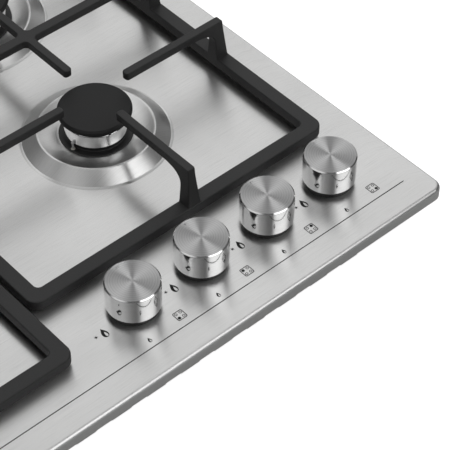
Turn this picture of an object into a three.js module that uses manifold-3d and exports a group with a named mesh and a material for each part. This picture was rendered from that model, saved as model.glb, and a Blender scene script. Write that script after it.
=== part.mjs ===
// A built-in gas cooktop for a worktop cut-out: a pressed steel pan with four burners, two cast-iron
// grates and four tap knobs in a row at the front right. Millimetres, +Z up, +X right, +Y to the back.
// The origin is at the middle of the footprint, on the plane of the tray's underside.

import * as THREE from "three";
import { mergeVertices } from "three/addons/utils/BufferGeometryUtils.js";
import Module from "manifold-3d";

const wasm = await Module();
wasm.setup();

// ---- Driving dimensions -------------------------------------------------------------------------

const SEAT_GAP = 0.3; // between a piece and the seat that carries it
const RUN_GAP = 0.4; // between a sliding or turning piece and its guide

const PAN_WIDTH = 590;
const PAN_DEPTH = 510;
const PAN_CORNER = 9;
const PAN_SHEET = 1;
const PAN_ROLL = 3; // radius where the top rolls over into the skirt
const SKIRT_HEIGHT = 10;
const SKIRT_FLANGE = 12; // the skirt's lower edge is folded inwards by this much

const SEAL_INSET = 3;
const SEAL_WIDTH = 8;
const SEAL_HEIGHT = 2.5;

const TRAY_RECESS_X = 19; // from the pan's edge to the tray's wall, at the sides
const TRAY_RECESS_Y = 19; // and at the front and back
const TRAY_DEPTH = 36; // from the pan's top face to the tray's underside
const TRAY_SHEET = 1;
const TRAY_LIP = 10;
const TRAY_CORNER = 6;

const LOUVRE_PITCH = 29.5;
const LOUVRE_LENGTH = 24;
const LOUVRE_RAMP = 8; // the closed end of a louvre falls back to the wall over this length
const LOUVRE_REACH = 4;
const LOUVRE_HEIGHT = 13;
const LOUVRE_COUNT = 16;
const FLOOR_SLOT_LENGTH = 60;
const FLOOR_SLOT_WIDTH = 6;
const FLOOR_SLOT_PITCH = 30;
const FLOOR_SLOT_COUNT = 5; // in each of the floor's two rows

const GRATE_GAP = 4; // between the two grates, over the pan's middle
const GRATE_SIDE_MARGIN = 29.8;
const GRATE_BACK_MARGIN = 24.8;
const RIGHT_GRATE_FRONT = 92.9; // from the pan's front edge, behind the knobs
const LEFT_GRATE_FRONT = 42.9;
const FRAME_WIDTH = 11.4;
const FRAME_TOP = 11.5; // above the pan
const FRAME_BOTTOM = 3.4;
const FRAME_EDGE = 0.8; // rounding of the frame's upper edges, in plan and in height
const FRAME_CORNER = 9;
const FRAME_INNER_CORNER = 4;
const FOOT_RADIUS = 4;
const FOOT_INSET = 20;

const FINGER_TOP = 44; // above the pan
const FINGER_WIDTH = 6.4;
const FINGER_HEIGHT = 6.2;
const FINGER_CHAMFER = 1.4;
const CROSS_BAR_WIDTH = 8;
const CROSS_FILLET = 4;
const ARCH_RADIUS = 13; // under a finger, where it turns down into its leg
const LEG_SETBACK = 3.8; // the leg leans in by this much from the frame to the finger
const LEG_THICKNESS = 10.6;
const LEG_FOOT_WIDTH = 10.6;
const TIP_CLEARANCE = 0.9; // in plan, from a finger's tip to the edge of the burner's cap
const LEFT_CROSS_SETBACK = 101.8; // from the rear burners' row forward to a grate's middle bar
const RIGHT_CROSS_SETBACK = 87.7;

const COLUMN_INSET = 153; // from the pan's side edge to a column of burners
const REAR_ROW_INSET = 140.2; // from the pan's back edge to the rear burners
const LARGE_BURNER_INSET = 155; // from the pan's front edge
const SMALL_BURNER_SPACING = 166.5; // from the rear burner of its column forward
const SMALL_CROWN = 23.4; // radius of a burner's crown
const MEDIUM_CROWN = 35;
const LARGE_CROWN = 46;
const SMALL_CAP = 27.2; // radius of its cap
const MEDIUM_CAP = 38.6;
const LARGE_CAP = 50;
const SMALL_MOUND = 54; // radius of the pressed ring round it
const MEDIUM_MOUND = 64;
const LARGE_MOUND = 76;

const MOUND_SLOPE = 11.1; // plan width of the outer slope of a burner's pressed ring
const MOUND_HEIGHT = 7.6;
const CREST_ROUND = 1.2; // half the width of the ring's rounded crest, and how far it drops there
const CREST_DROP = 0.5;
const DISH_POWER = 1.8; // how quickly the dish flattens out
const DISH_HEIGHT = 3.3; // of the dish's floor, above the pan
const BASE_TOP = 4.8; // of the dark base disc round the crown, above the pan
const BASE_OVERHANG = 4; // the base disc is this much wider than the crown, on the radius
const HOLDER_FLANGE = 6;
const NECK_INSET = 1.6; // the neck under the crown is this much narrower than it
const CROWN_BOTTOM = 9;
const CROWN_BAND = 11; // height of the crown's polished band
const CROWN_HEIGHT = 14.7;
const CROWN_WALL = 5.2;
const PORT_INSET = 2.4; // the ported ring above the band is this much narrower
const PORT_WIDTH = 1.6;
const PORT_SILL = 0.7; // a port starts this far above the band
const CAP_HEIGHT = 4;
const CAP_CHAMFER = 1.1;
const CAP_SPIGOT = 2; // the cap sits in the crown by this much
const CUP_WALL = 2.4;
const CUP_BOTTOM = -13;
const JET_BLOCK_RADIUS = 12;
const JET_BLOCK_BOTTOM = -31;
const PROBE_RADIUS = 2; // of the igniter's ceramic and the flame sensor's sleeve
const PROBE_TIP_RADIUS = 0.9;
const PROBE_OFFSET = 1; // the probes stand this far outside the crown's radius
const PROBE_ROOM = 1; // round a probe, in the notch of the crown's band
const PROBE_NOTCH_TOP = 16;
const IGNITER_TOP = 7.5;
const IGNITER_TIP = 12;
const SENSOR_TOP = 8.5;
const SENSOR_TIP = 12.5;
const PROBE_BOTTOM = -15;

const KNOB_RADIUS = 19.2;
const KNOB_TOP = 25.8; // above the pan
const KNOB_BOTTOM = 4.8;
const KNOB_CHAMFER = 0.9;
const KNOB_FOOT_CHAMFER = 0.5;
const KNOB_WALL = 1.4;
const KNOB_ROOF = 3;
const KNOB_HUB_RADIUS = 6;
const KNOB_HUB_BOTTOM = 9;
const KNOB_PITCH = 59.6;
const KNOB_ROW = 58; // from the pan's front edge
const LAST_KNOB_INSET = 58.7; // from the pan's right edge to the last knob of the row
const DIMPLE_RADIUS = 1.1;
const DIMPLE_OFFSET = 15.6;
const DIMPLE_DEPTH = 0.5;
const COLLAR_HEIGHT = 4.2;
const COLLAR_BORE = 4.2;

const SPINDLE_RADIUS = 3;
const SPINDLE_FLAT = 1; // the flat of the spindle's D section is cut this deep
const SPINDLE_FLAT_BOTTOM = 4;
const SPINDLE_TOP = 20;
const SPINDLE_BOTTOM = -18;
const TAP_HOLE_RADIUS = 7;
const VALVE_RADIUS = 11;
const VALVE_NECK_RADIUS = 9;
const VALVE_SHOULDER = -8;
const VALVE_BOTTOM = -31;
const VALVE_FLOOR = 4;
const PLUG_RADIUS = 6;
const PLUG_BORE_DEPTH = 16;

const RAIL_RADIUS = 7;
const RAIL_OVERHANG = 16;
const RAIL_LANE = 38; // from the pan's right edge to the rail's long run to the back
const RAIL_BEND = 14;
const PIPE_RADIUS = 3.5;
const PIPE_BEND = 10;
const LEFT_PIPE_LANE = 64; // from the right column of burners to the rear left burner's pipe
const RIGHT_PIPE_LANE = 42; // and to the rear right one's
const LEFT_PIPE_TURN = 21; // behind the taps, where each of them turns aside
const RIGHT_PIPE_TURN = 37;
const INLET_RADIUS = 8.3;
const INLET_NUT_RADIUS = 9.6;
const INLET_BORE = 4.5;
const INLET_INSIDE = 10;
const INLET_OUTSIDE = 14;

const CLAMP_WIDTH = 22;
const CLAMP_SHEET = 1.5;
const CLAMP_REACH = 14;
const CLAMP_DROP = 20;
const CLAMP_CLAW = 6; // height of the turned-up end
const CLAMP_SPREAD = 150; // from the pan's middle to a clamp, front to back

const MODULE_LENGTH = 70;
const MODULE_DEPTH = 36;
const MODULE_HEIGHT = 22;
const MODULE_FROM_WALL = 20; // from the tray's front wall to the ignition module
const TERMINAL_LENGTH = 52;
const TERMINAL_DEPTH = 30;
const TERMINAL_HEIGHT = 18;
const TERMINAL_FROM_WALL = 5;
const GLAND_RADIUS = 7;
const GLAND_NUT_RADIUS = 10.5;
const GLAND_INSIDE = 9;
const GLAND_OUTSIDE = 13;
const GLAND_BORE = 3.5;

const WIDE_STEPS = 18; // sides of a wide turned piece, such as a cap
const STEPS = 12; // of a middling one
const FINE_STEPS = 10; // of a small one
const PROBE_STEPS = 6; // and of a probe
const BEND_STEPS = 3;

// ---- Places worked out from them ----------------------------------------------------------------

const PAN_Z = TRAY_DEPTH; // height of the pan's top face above the origin
const panFront = -PAN_DEPTH / 2;
const panBack = PAN_DEPTH / 2;
const panRight = PAN_WIDTH / 2;
const trayHalfX = panRight - TRAY_RECESS_X;
const trayHalfY = panBack - TRAY_RECESS_Y;
const trayFloor = TRAY_SHEET - TRAY_DEPTH; // top face of the tray's floor, from the pan's top face
const panUnderside = -PAN_SHEET;

const grateInner = GRATE_GAP / 2;
const grateOuter = panRight - GRATE_SIDE_MARGIN;
const grateBack = panBack - GRATE_BACK_MARGIN;

const burnerColumn = panRight - COLUMN_INSET;
const rearRow = panBack - REAR_ROW_INSET;
const burnerSizes = {
  small: { crown: SMALL_CROWN, cap: SMALL_CAP, mound: SMALL_MOUND, ports: 8 },
  medium: { crown: MEDIUM_CROWN, cap: MEDIUM_CAP, mound: MEDIUM_MOUND, ports: 10 },
  large: { crown: LARGE_CROWN, cap: LARGE_CAP, mound: LARGE_MOUND, ports: 12 },
};

// The burners in the order of their knobs, each with its axis and the angles of its two probes.
const burners = [
  {
    name: "front_left",
    size: burnerSizes.large,
    x: -burnerColumn,
    y: panFront + LARGE_BURNER_INSET,
    igniter: -100,
    sensor: 30,
  },
  {
    name: "rear_left",
    size: burnerSizes.medium,
    x: -burnerColumn,
    y: rearRow,
    igniter: -80,
    sensor: 50,
  },
  {
    name: "rear_right",
    size: burnerSizes.medium,
    x: burnerColumn,
    y: rearRow,
    igniter: -100,
    sensor: 50,
  },
  {
    name: "front_right",
    size: burnerSizes.small,
    x: burnerColumn,
    y: rearRow - SMALL_BURNER_SPACING,
    igniter: -171,
    sensor: 50,
  },
];
const [frontLeft, rearLeft, rearRight, frontRight] = burners;

const knobRowY = panFront + KNOB_ROW;
const firstKnobX = panRight - LAST_KNOB_INSET - (burners.length - 1) * KNOB_PITCH;
const knobX = (index) => firstKnobX + index * KNOB_PITCH;

// Axis of the gas rail and the pipes: the inlet passes just under the rim's seal.
const sealBottom = -SKIRT_HEIGHT - SEAT_GAP - SEAL_HEIGHT;
const gasLevel = sealBottom - SEAT_GAP - INLET_RADIUS;

// ---- Materials ----------------------------------------------------------------------------------

const finish = (color, roughness, metalness) =>
  new THREE.MeshStandardMaterial({ color, roughness, metalness });
const brushedSteel = finish(0xb9b9b7, 0.34, 1);
const zincSteel = finish(0xa3a6a8, 0.45, 0.9);
const castIron = finish(0x1f1f20, 0.62, 0.2);
const blackEnamel = finish(0x161617, 0.5, 0);
const polishedAluminium = finish(0xc9cacb, 0.16, 1);
const castAluminium = finish(0x3c3c3e, 0.6, 0.6);
const chrome = finish(0xd6d6d6, 0.08, 1);
const blackPlastic = finish(0x121212, 0.55, 0);
const brass = finish(0xb08d4b, 0.4, 0.9);
const pipeAluminium = finish(0xbfc1c3, 0.35, 1);
const ceramic = finish(0xe9e6df, 0.4, 0);
const rubber = finish(0x1b1b1b, 0.85, 0);

// ---- Solids -------------------------------------------------------------------------------------

// A closed geometry as a solid, with shared vertices merged and collapsed triangles left out.
function solid(geometry) {
  const bare = new THREE.BufferGeometry();
  bare.setAttribute("position", geometry.getAttribute("position"));
  bare.setIndex(geometry.index);
  const merged = mergeVertices(bare, 1e-4);
  const corners = merged.index.array;
  const kept = [];
  for (let i = 0; i < corners.length; i += 3) {
    const [a, b, c] = [corners[i], corners[i + 1], corners[i + 2]];
    if (a !== b && b !== c && c !== a) kept.push(a, b, c);
  }
  const vertProperties = merged.getAttribute("position").array;
  return new wasm.Manifold(
    new wasm.Mesh({ numProp: 3, vertProperties, triVerts: new Uint32Array(kept) }),
  );
}

function geometryOf(body) {
  const mesh = body.getMesh();
  return new THREE.BufferGeometry()
    .setAttribute("position", new THREE.BufferAttribute(mesh.vertProperties, 3))
    .setIndex(new THREE.BufferAttribute(mesh.triVerts, 1));
}

const asSolid = (shape) => (shape.isBufferGeometry ? solid(shape) : shape);
const join = (first, ...others) =>
  others.reduce((whole, piece) => whole.add(asSolid(piece)), asSolid(first));
const cut = (first, ...tools) =>
  tools.reduce((whole, tool) => whole.subtract(asSolid(tool)), asSolid(first));

// Rings of equal point counts, joined in order. A ring runs anticlockwise seen from the next one's side.
// Open lofts get flat ends, which needs convex end rings; a closed loft joins its last ring to its first.
function loft(rings, closed = false) {
  const count = rings[0].length;
  const index = [];
  const spans = closed ? rings.length : rings.length - 1;
  for (let i = 0; i < spans; i++) {
    const low = i * count;
    const high = ((i + 1) % rings.length) * count;
    for (let j = 0; j < count; j++) {
      const k = (j + 1) % count;
      index.push(low + j, low + k, high + k, low + j, high + k, high + j);
    }
  }
  const last = (rings.length - 1) * count;
  for (let j = 1; !closed && j < count - 1; j++) {
    index.push(0, j + 1, j, last, last + j, last + j + 1);
  }
  return new THREE.BufferGeometry().setFromPoints(rings.flat()).setIndex(index);
}

// A rounded rectangle round a centre, anticlockwise, as plain plan points.
function roundedRectangle(halfX, halfY, radius, steps, centreX = 0, centreY = 0) {
  const points = [];
  const corners = [
    [1, -1, -90],
    [1, 1, 0],
    [-1, 1, 90],
    [-1, -1, 180],
  ];
  for (const [signX, signY, start] of corners) {
    for (let i = 0; i <= steps; i++) {
      const angle = THREE.MathUtils.degToRad(start + (90 * i) / steps);
      const x = centreX + signX * (halfX - radius) + radius * Math.cos(angle);
      const y = centreY + signY * (halfY - radius) + radius * Math.sin(angle);
      points.push(new THREE.Vector2(x, y));
    }
  }
  return points;
}

const atHeight = (points, z) => points.map((p) => new THREE.Vector3(p.x, p.y, z));

// A flat plate between two heights, with holes given as outlines.
function plate(outline, bottom, top, holes = []) {
  const shape = new THREE.Shape(outline);
  shape.holes = holes.map((hole) => new THREE.Path(hole));
  const depth = top - bottom;
  return new THREE.ExtrudeGeometry(shape, { depth, bevelEnabled: false }).translate(0, 0, bottom);
}

// A circle as plan points. It starts at the front like a turned body, so their sides line up.
function circle(radius, segments, x = 0, y = 0) {
  const points = [];
  for (let i = 0; i < segments; i++) {
    const angle = (2 * Math.PI * i) / segments - Math.PI / 2;
    points.push(new THREE.Vector2(x + radius * Math.cos(angle), y + radius * Math.sin(angle)));
  }
  return points;
}

// A turned body about +Z from [radius, height] points that run outwards at the bottom and up outside.
function turned(profile, segments, x = 0, y = 0) {
  const points = profile.map(([radius, height]) => new THREE.Vector2(radius, height));
  return new THREE.LatheGeometry(points, segments).rotateX(Math.PI / 2).translate(x, y, 0);
}

// A small turned body that points to the back, about +Y.
const rearward = (profile) => turned(profile, FINE_STEPS).rotateX(-Math.PI / 2);

const cylinder = (radius, bottom, top, segments, x = 0, y = 0) =>
  plate(circle(radius, segments, x, y), bottom, top);

const block = (x0, x1, y0, y1, z0, z1) =>
  new THREE.BoxGeometry(x1 - x0, y1 - y0, z1 - z0).translate(
    (x0 + x1) / 2,
    (y0 + y1) / 2,
    (z0 + z1) / 2,
  );

// A route through points that is read at those points, whatever their spacing.
class Route extends THREE.Curve {
  constructor(points) {
    super();
    this.points = points;
  }
  getPoint(share, target = new THREE.Vector3()) {
    const spans = this.points.length - 1;
    const span = Math.min(Math.floor(share * spans), spans - 1);
    return target.lerpVectors(this.points[span], this.points[span + 1], share * spans - span);
  }
  getPointAt(share, target) {
    return this.getPoint(share, target);
  }
  getTangentAt(share, target) {
    return this.getTangent(share, target);
  }
}

// A round tube through level corner points, with each corner turned in a bend of the given radius.
function levelTube(corners, radius, bend, sides) {
  const points = [corners[0]];
  for (let i = 1; i < corners.length - 1; i++) {
    const before = corners[i - 1].clone().sub(corners[i]).setLength(bend).add(corners[i]);
    const after = corners[i + 1].clone().sub(corners[i]).setLength(bend).add(corners[i]);
    points.push(...new THREE.QuadraticBezierCurve3(before, corners[i], after).getPoints(BEND_STEPS));
  }
  points.push(corners.at(-1));
  return new THREE.ExtrudeGeometry(new THREE.Shape(circle(radius, sides)), {
    extrudePath: new Route(points),
    steps: points.length - 1,
  });
}

const cooktop = new THREE.Group();
cooktop.name = "gas_cooktop";

function add(name, shape, material) {
  const mesh = new THREE.Mesh(geometryOf(asSolid(shape)), material);
  mesh.name = name;
  mesh.position.z = PAN_Z;
  cooktop.add(mesh);
}

// ---- Pressed pan --------------------------------------------------------------------------------

const baseRadius = (burner) => burner.size.crown + BASE_OVERHANG;
const dishHole = (burner) => baseRadius(burner) + RUN_GAP;

// Upper face of a burner's pressed ring as [radius, height] points from the flat pan to the hole:
// a straight slope up to a rounded crest, then a dish that flattens out towards the hole.
function moundTop(burner) {
  const crest = burner.size.mound - MOUND_SLOPE;
  const hole = dishHole(burner);
  const inside = crest - CREST_ROUND;
  const dishTop = MOUND_HEIGHT - CREST_DROP;
  const dish = [1, 0.5, 0].map((share) => [
    hole + share * (inside - hole),
    DISH_HEIGHT + (dishTop - DISH_HEIGHT) * share ** DISH_POWER,
  ]);
  return [[burner.size.mound, 0], [crest + CREST_ROUND, dishTop], [crest, MOUND_HEIGHT], ...dish];
}

function mound(burner) {
  const top = moundTop(burner);
  const [foot, , crest, , bend] = top.map(([radius, height]) => [radius, height - PAN_SHEET]);
  const hole = [top.at(-1)[0], DISH_HEIGHT - PAN_SHEET];
  return turned([hole, bend, crest, foot, ...top, hole], WIDE_STEPS, burner.x, burner.y);
}

function panRim() {
  const ring = (inset, height) => {
    const radius = Math.max(PAN_CORNER - inset, 0.5);
    return atHeight(roundedRectangle(panRight - inset, panBack - inset, radius, 3), height);
  };
  const roll = (inset, radius, steps) => {
    const rings = [];
    for (let i = 0; i <= steps; i++) {
      const angle = ((i / steps) * Math.PI) / 2;
      const x = inset + radius * (1 - Math.cos(angle));
      rings.push([x, -PAN_ROLL + radius * Math.sin(angle)]);
    }
    return rings;
  };
  const outside = [[0, -SKIRT_HEIGHT], ...roll(0, PAN_ROLL, 3), [SKIRT_FLANGE, 0]];
  const inside = [
    [SKIRT_FLANGE, -PAN_SHEET],
    ...roll(PAN_SHEET, PAN_ROLL - PAN_SHEET, 2).reverse(),
    [PAN_SHEET, PAN_SHEET - SKIRT_HEIGHT],
    [SKIRT_FLANGE, PAN_SHEET - SKIRT_HEIGHT],
    [SKIRT_FLANGE, -SKIRT_HEIGHT],
  ];
  return loft([...outside, ...inside].map(([inset, height]) => ring(inset, height)), true);
}

function topPlate() {
  const inset = (PAN_ROLL + SKIRT_FLANGE) / 2;
  const sheet = plate(
    roundedRectangle(panRight - inset, panBack - inset, 1, 2),
    -PAN_SHEET,
    0,
    [
      ...burners.map(({ size, x, y }) => circle(size.mound - 0.2, WIDE_STEPS, x, y)),
      ...burners.map((_, i) => circle(TAP_HOLE_RADIUS, FINE_STEPS, knobX(i), knobRowY)),
    ],
  );
  return join(panRim(), sheet, ...burners.map(mound));
}

add("top_plate", topPlate(), brushedSteel);

function rimSeal() {
  const outer = roundedRectangle(panRight - SEAL_INSET, panBack - SEAL_INSET, PAN_CORNER, 2);
  const inset = SEAL_INSET + SEAL_WIDTH;
  const inner = roundedRectangle(panRight - inset, panBack - inset, 2, 2);
  return plate(outer, sealBottom, sealBottom + SEAL_HEIGHT, [inner]);
}

add("rim_seal", rimSeal(), rubber);

// ---- Bottom tray --------------------------------------------------------------------------------

const trayOutline = (inset, radius) =>
  roundedRectangle(trayHalfX - inset, trayHalfY - inset, radius, 3);

// One pressed louvre on the tray's front wall: a hood that is open at its left end, closed by a ramp
// at its right end, and stands out below the pan's skirt.
function louvre(x, reach, inset) {
  const wall = -trayHalfY + TRAY_SHEET / 2;
  const section = (at, depth) => {
    const front = wall - depth;
    const low = -TRAY_DEPTH + inset;
    return [
      new THREE.Vector3(at, wall, low),
      new THREE.Vector3(at, wall, low + LOUVRE_HEIGHT - 2 * inset),
      new THREE.Vector3(at, front, low + LOUVRE_HEIGHT / 2 - inset),
      new THREE.Vector3(at, front, low + 1),
    ];
  };
  const left = x - LOUVRE_LENGTH / 2;
  const right = x + LOUVRE_LENGTH / 2;
  return loft([
    section(left - inset, reach),
    section(right - LOUVRE_RAMP, reach),
    section(right - inset, 0.2),
  ]);
}

function bottomTray() {
  const top = panUnderside - SEAT_GAP;
  const outside = plate(trayOutline(0, TRAY_CORNER), -TRAY_DEPTH, top);
  const inner = trayOutline(TRAY_SHEET, TRAY_CORNER - TRAY_SHEET);
  const inside = plate(inner, trayFloor, top - TRAY_SHEET);
  const mouth = plate(trayOutline(TRAY_LIP, 2), trayFloor + TRAY_SHEET, top + 1);
  const hoods = [];
  const hollows = [];
  for (let i = 0; i < LOUVRE_COUNT; i++) {
    const x = (i - (LOUVRE_COUNT - 1) / 2) * LOUVRE_PITCH;
    hoods.push(louvre(x, LOUVRE_REACH, 0));
    hollows.push(louvre(x, LOUVRE_REACH - TRAY_SHEET, TRAY_SHEET));
  }
  const slots = [];
  for (const side of [-1, 1]) {
    for (let i = 0; i < FLOOR_SLOT_COUNT; i++) {
      const x = side * (burnerColumn / 2);
      const y = (i - (FLOOR_SLOT_COUNT - 1) / 2) * FLOOR_SLOT_PITCH;
      const halfX = FLOOR_SLOT_LENGTH / 2;
      const halfY = FLOOR_SLOT_WIDTH / 2;
      slots.push(block(x - halfX, x + halfX, y - halfY, y + halfY, -TRAY_DEPTH - 1, trayFloor + 1));
    }
  }
  const wallHole = (radius, x) =>
    rearward([[0, 0], [radius, 0], [radius, 3 * TRAY_SHEET], [0, 3 * TRAY_SHEET]])
      .translate(x, trayHalfY - 2 * TRAY_SHEET, gasLevel);
  return cut(
    join(outside, ...hoods),
    inside,
    mouth,
    ...hollows,
    ...slots,
    wallHole(INLET_RADIUS + SEAT_GAP, panRight - RAIL_LANE),
    wallHole(GLAND_RADIUS + SEAT_GAP, -panRight + RAIL_LANE),
  );
}

add("bottom_tray", bottomTray(), zincSteel);

// ---- Grates -------------------------------------------------------------------------------------

// The flat frame of a grate between two plan corners: a bar with rounded upper edges, on four feet.
function frame(x0, x1, y0, y1) {
  const centreX = (x0 + x1) / 2;
  const centreY = (y0 + y1) / 2;
  const halfX = (x1 - x0) / 2;
  const halfY = (y1 - y0) / 2;
  const ring = ([inset, height]) => {
    const share = inset / FRAME_WIDTH;
    const radius = THREE.MathUtils.lerp(FRAME_CORNER, FRAME_INNER_CORNER, share);
    const outline = roundedRectangle(halfX - inset, halfY - inset, radius, 4, centreX, centreY);
    return atHeight(outline, height);
  };
  const profile = [
    [0, FRAME_BOTTOM],
    [0, FRAME_TOP - FRAME_EDGE],
    [FRAME_EDGE, FRAME_TOP],
    [FRAME_WIDTH - FRAME_EDGE, FRAME_TOP],
    [FRAME_WIDTH, FRAME_TOP - FRAME_EDGE],
    [FRAME_WIDTH, FRAME_BOTTOM],
  ];
  const feet = [];
  for (const footX of [x0 + FRAME_WIDTH / 2, x1 - FRAME_WIDTH / 2]) {
    for (const footY of [y0 + FOOT_INSET, y1 - FOOT_INSET]) {
      feet.push(cylinder(FOOT_RADIUS, SEAT_GAP, FRAME_BOTTOM + 1, FINE_STEPS, footX, footY));
    }
  }
  return join(loft(profile.map(ring), true), ...feet);
}

// A finger that rises from the frame on a tapered leg and runs inwards to its tip. It starts at a
// point on the frame's outer edge and runs along a plan direction in degrees.
function finger(x, y, direction, reach, width) {
  const underside = FINGER_TOP - FINGER_HEIGHT;
  const legInside = LEG_SETBACK + LEG_THICKNESS - 2;
  const side = new THREE.Shape();
  const archY = underside - ARCH_RADIUS;
  side.moveTo(LEG_SETBACK, archY);
  side.lineTo(legInside, archY);
  side.absarc(legInside + ARCH_RADIUS, archY, ARCH_RADIUS, Math.PI, Math.PI / 2, true);
  side.lineTo(reach, underside);
  side.lineTo(reach, FINGER_TOP - FINGER_CHAMFER);
  side.lineTo(reach - FINGER_CHAMFER, FINGER_TOP);
  side.lineTo(LEG_SETBACK + FINGER_CHAMFER, FINGER_TOP);
  side.lineTo(LEG_SETBACK, FINGER_TOP - FINGER_CHAMFER);
  const bar = new THREE.ExtrudeGeometry(side, {
    depth: width,
    bevelEnabled: false,
    curveSegments: 3,
  })
    .translate(0, 0, -width / 2)
    .rotateX(Math.PI / 2);
  const section = (start, end, halfWidth, z) => [
    new THREE.Vector3(start, -halfWidth, z),
    new THREE.Vector3(end, -halfWidth, z),
    new THREE.Vector3(end, halfWidth, z),
    new THREE.Vector3(start, halfWidth, z),
  ];
  const spread = width - FINGER_WIDTH;
  const foot = (LEG_FOOT_WIDTH + spread) / 2;
  const leg = loft([
    section(0.2, LEG_THICKNESS + 0.6, foot, FRAME_TOP - 3),
    section(0.3, LEG_THICKNESS, foot - 0.3, FRAME_TOP + 1),
    section(LEG_SETBACK, legInside, width / 2, underside),
  ]);
  return asSolid(join(bar, leg))
    .rotate([0, 0, direction])
    .translate([x, y, 0]);
}

// The level cross in the middle of a grate, between the tips that it holds towards two burners.
function cross(x, y, frontTip, backTip) {
  const halfX = CROSS_BAR_WIDTH / 2 + CROSS_FILLET;
  const halfWide = FINGER_WIDTH / 2;
  const halfBar = CROSS_BAR_WIDTH / 2;
  const r = CROSS_FILLET;
  const outline = new THREE.Shape();
  outline.moveTo(halfWide, frontTip - y);
  outline.lineTo(halfWide, -halfBar - r);
  outline.absarc(halfWide + r, -halfBar - r, r, Math.PI, Math.PI / 2, true);
  outline.lineTo(halfX + r, -halfBar);
  outline.lineTo(halfX + r, halfBar);
  outline.absarc(halfWide + r, halfBar + r, r, -Math.PI / 2, -Math.PI, true);
  outline.lineTo(halfWide, backTip - y);
  outline.lineTo(-halfWide, backTip - y);
  outline.lineTo(-halfWide, halfBar + r);
  outline.absarc(-halfWide - r, halfBar + r, r, 0, -Math.PI / 2, true);
  outline.lineTo(-halfX - r, halfBar);
  outline.lineTo(-halfX - r, -halfBar);
  outline.absarc(-halfWide - r, -halfBar - r, r, Math.PI / 2, 0, true);
  outline.lineTo(-halfWide, frontTip - y);
  return new THREE.ExtrudeGeometry(outline, {
    depth: FINGER_HEIGHT,
    bevelEnabled: false,
    curveSegments: 3,
  }).translate(x, y, FINGER_TOP - FINGER_HEIGHT);
}

const tipRadius = (burner) => burner.size.cap + TIP_CLEARANCE;

function grate(x0, x1, front, crossY, frontBurner, backBurner) {
  const pieces = [];
  for (const burner of [frontBurner, backBurner]) {
    const tip = tipRadius(burner);
    pieces.push(finger(x0, burner.y, 0, burner.x - tip - x0, FINGER_WIDTH));
    pieces.push(finger(x1, burner.y, 180, x1 - burner.x - tip, FINGER_WIDTH));
  }
  const frontReach = frontBurner.y - tipRadius(frontBurner) - front;
  const backReach = grateBack - backBurner.y - tipRadius(backBurner);
  const middle = frontBurner.x;
  pieces.push(finger(middle, front, 90, frontReach, FINGER_WIDTH));
  pieces.push(finger(middle, grateBack, -90, backReach, FINGER_WIDTH));
  pieces.push(finger(x0, crossY, 0, middle - x0, CROSS_BAR_WIDTH));
  pieces.push(finger(x1, crossY, 180, x1 - middle, CROSS_BAR_WIDTH));
  const frontTip = frontBurner.y + tipRadius(frontBurner);
  const backTip = backBurner.y - tipRadius(backBurner);
  pieces.push(cross(middle, crossY, frontTip, backTip));
  return join(frame(x0, x1, front, grateBack), ...pieces);
}

const leftFront = panFront + LEFT_GRATE_FRONT;
const rightFront = panFront + RIGHT_GRATE_FRONT;
add(
  "grate_left",
  grate(-grateOuter, -grateInner, leftFront, rearRow - LEFT_CROSS_SETBACK, frontLeft, rearLeft),
  castIron,
);
add(
  "grate_right",
  grate(grateInner, grateOuter, rightFront, rearRow - RIGHT_CROSS_SETBACK, frontRight, rearRight),
  castIron,
);

// ---- Burners ------------------------------------------------------------------------------------

const crownTop = CROWN_BOTTOM + CROWN_HEIGHT;
const capBottom = crownTop + SEAT_GAP;

function probePlace(burner, angle) {
  const radius = burner.size.crown + PROBE_OFFSET;
  const turn = THREE.MathUtils.degToRad(angle);
  return [burner.x + radius * Math.cos(turn), burner.y + radius * Math.sin(turn)];
}

// The cast holder under the pan: a flange against the dish, the dark base disc and neck that show
// round the crown, a mixing cup, and the jet's block below it that the pipe screws into.
function burnerHolder(burner) {
  const crown = burner.size.crown;
  const base = baseRadius(burner);
  const flange = dishHole(burner) + HOLDER_FLANGE;
  const flangeTop = DISH_HEIGHT - PAN_SHEET - SEAT_GAP;
  const cup = crown - CROWN_WALL;
  const body = turned(
    [
      [0, JET_BLOCK_BOTTOM],
      [JET_BLOCK_RADIUS, JET_BLOCK_BOTTOM],
      [JET_BLOCK_RADIUS, CUP_BOTTOM],
      [cup, CUP_BOTTOM],
      [cup, flangeTop - CUP_WALL],
      [flange, flangeTop - CUP_WALL],
      [flange, flangeTop],
      [base, flangeTop],
      [base, BASE_TOP],
      [crown - NECK_INSET, BASE_TOP],
      [crown - NECK_INSET, CROWN_BOTTOM - SEAT_GAP],
      [cup - CUP_WALL, CROWN_BOTTOM - SEAT_GAP],
      [cup - CUP_WALL, CUP_BOTTOM + CUP_WALL],
      [0, CUP_BOTTOM + CUP_WALL],
    ],
    WIDE_STEPS,
    burner.x,
    burner.y,
  );
  const holes = [burner.igniter, burner.sensor].map((angle) => {
    const [x, y] = probePlace(burner, angle);
    return cylinder(PROBE_RADIUS + RUN_GAP, PROBE_BOTTOM, BASE_TOP + 1, PROBE_STEPS, x, y);
  });
  return cut(body, ...holes);
}

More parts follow.
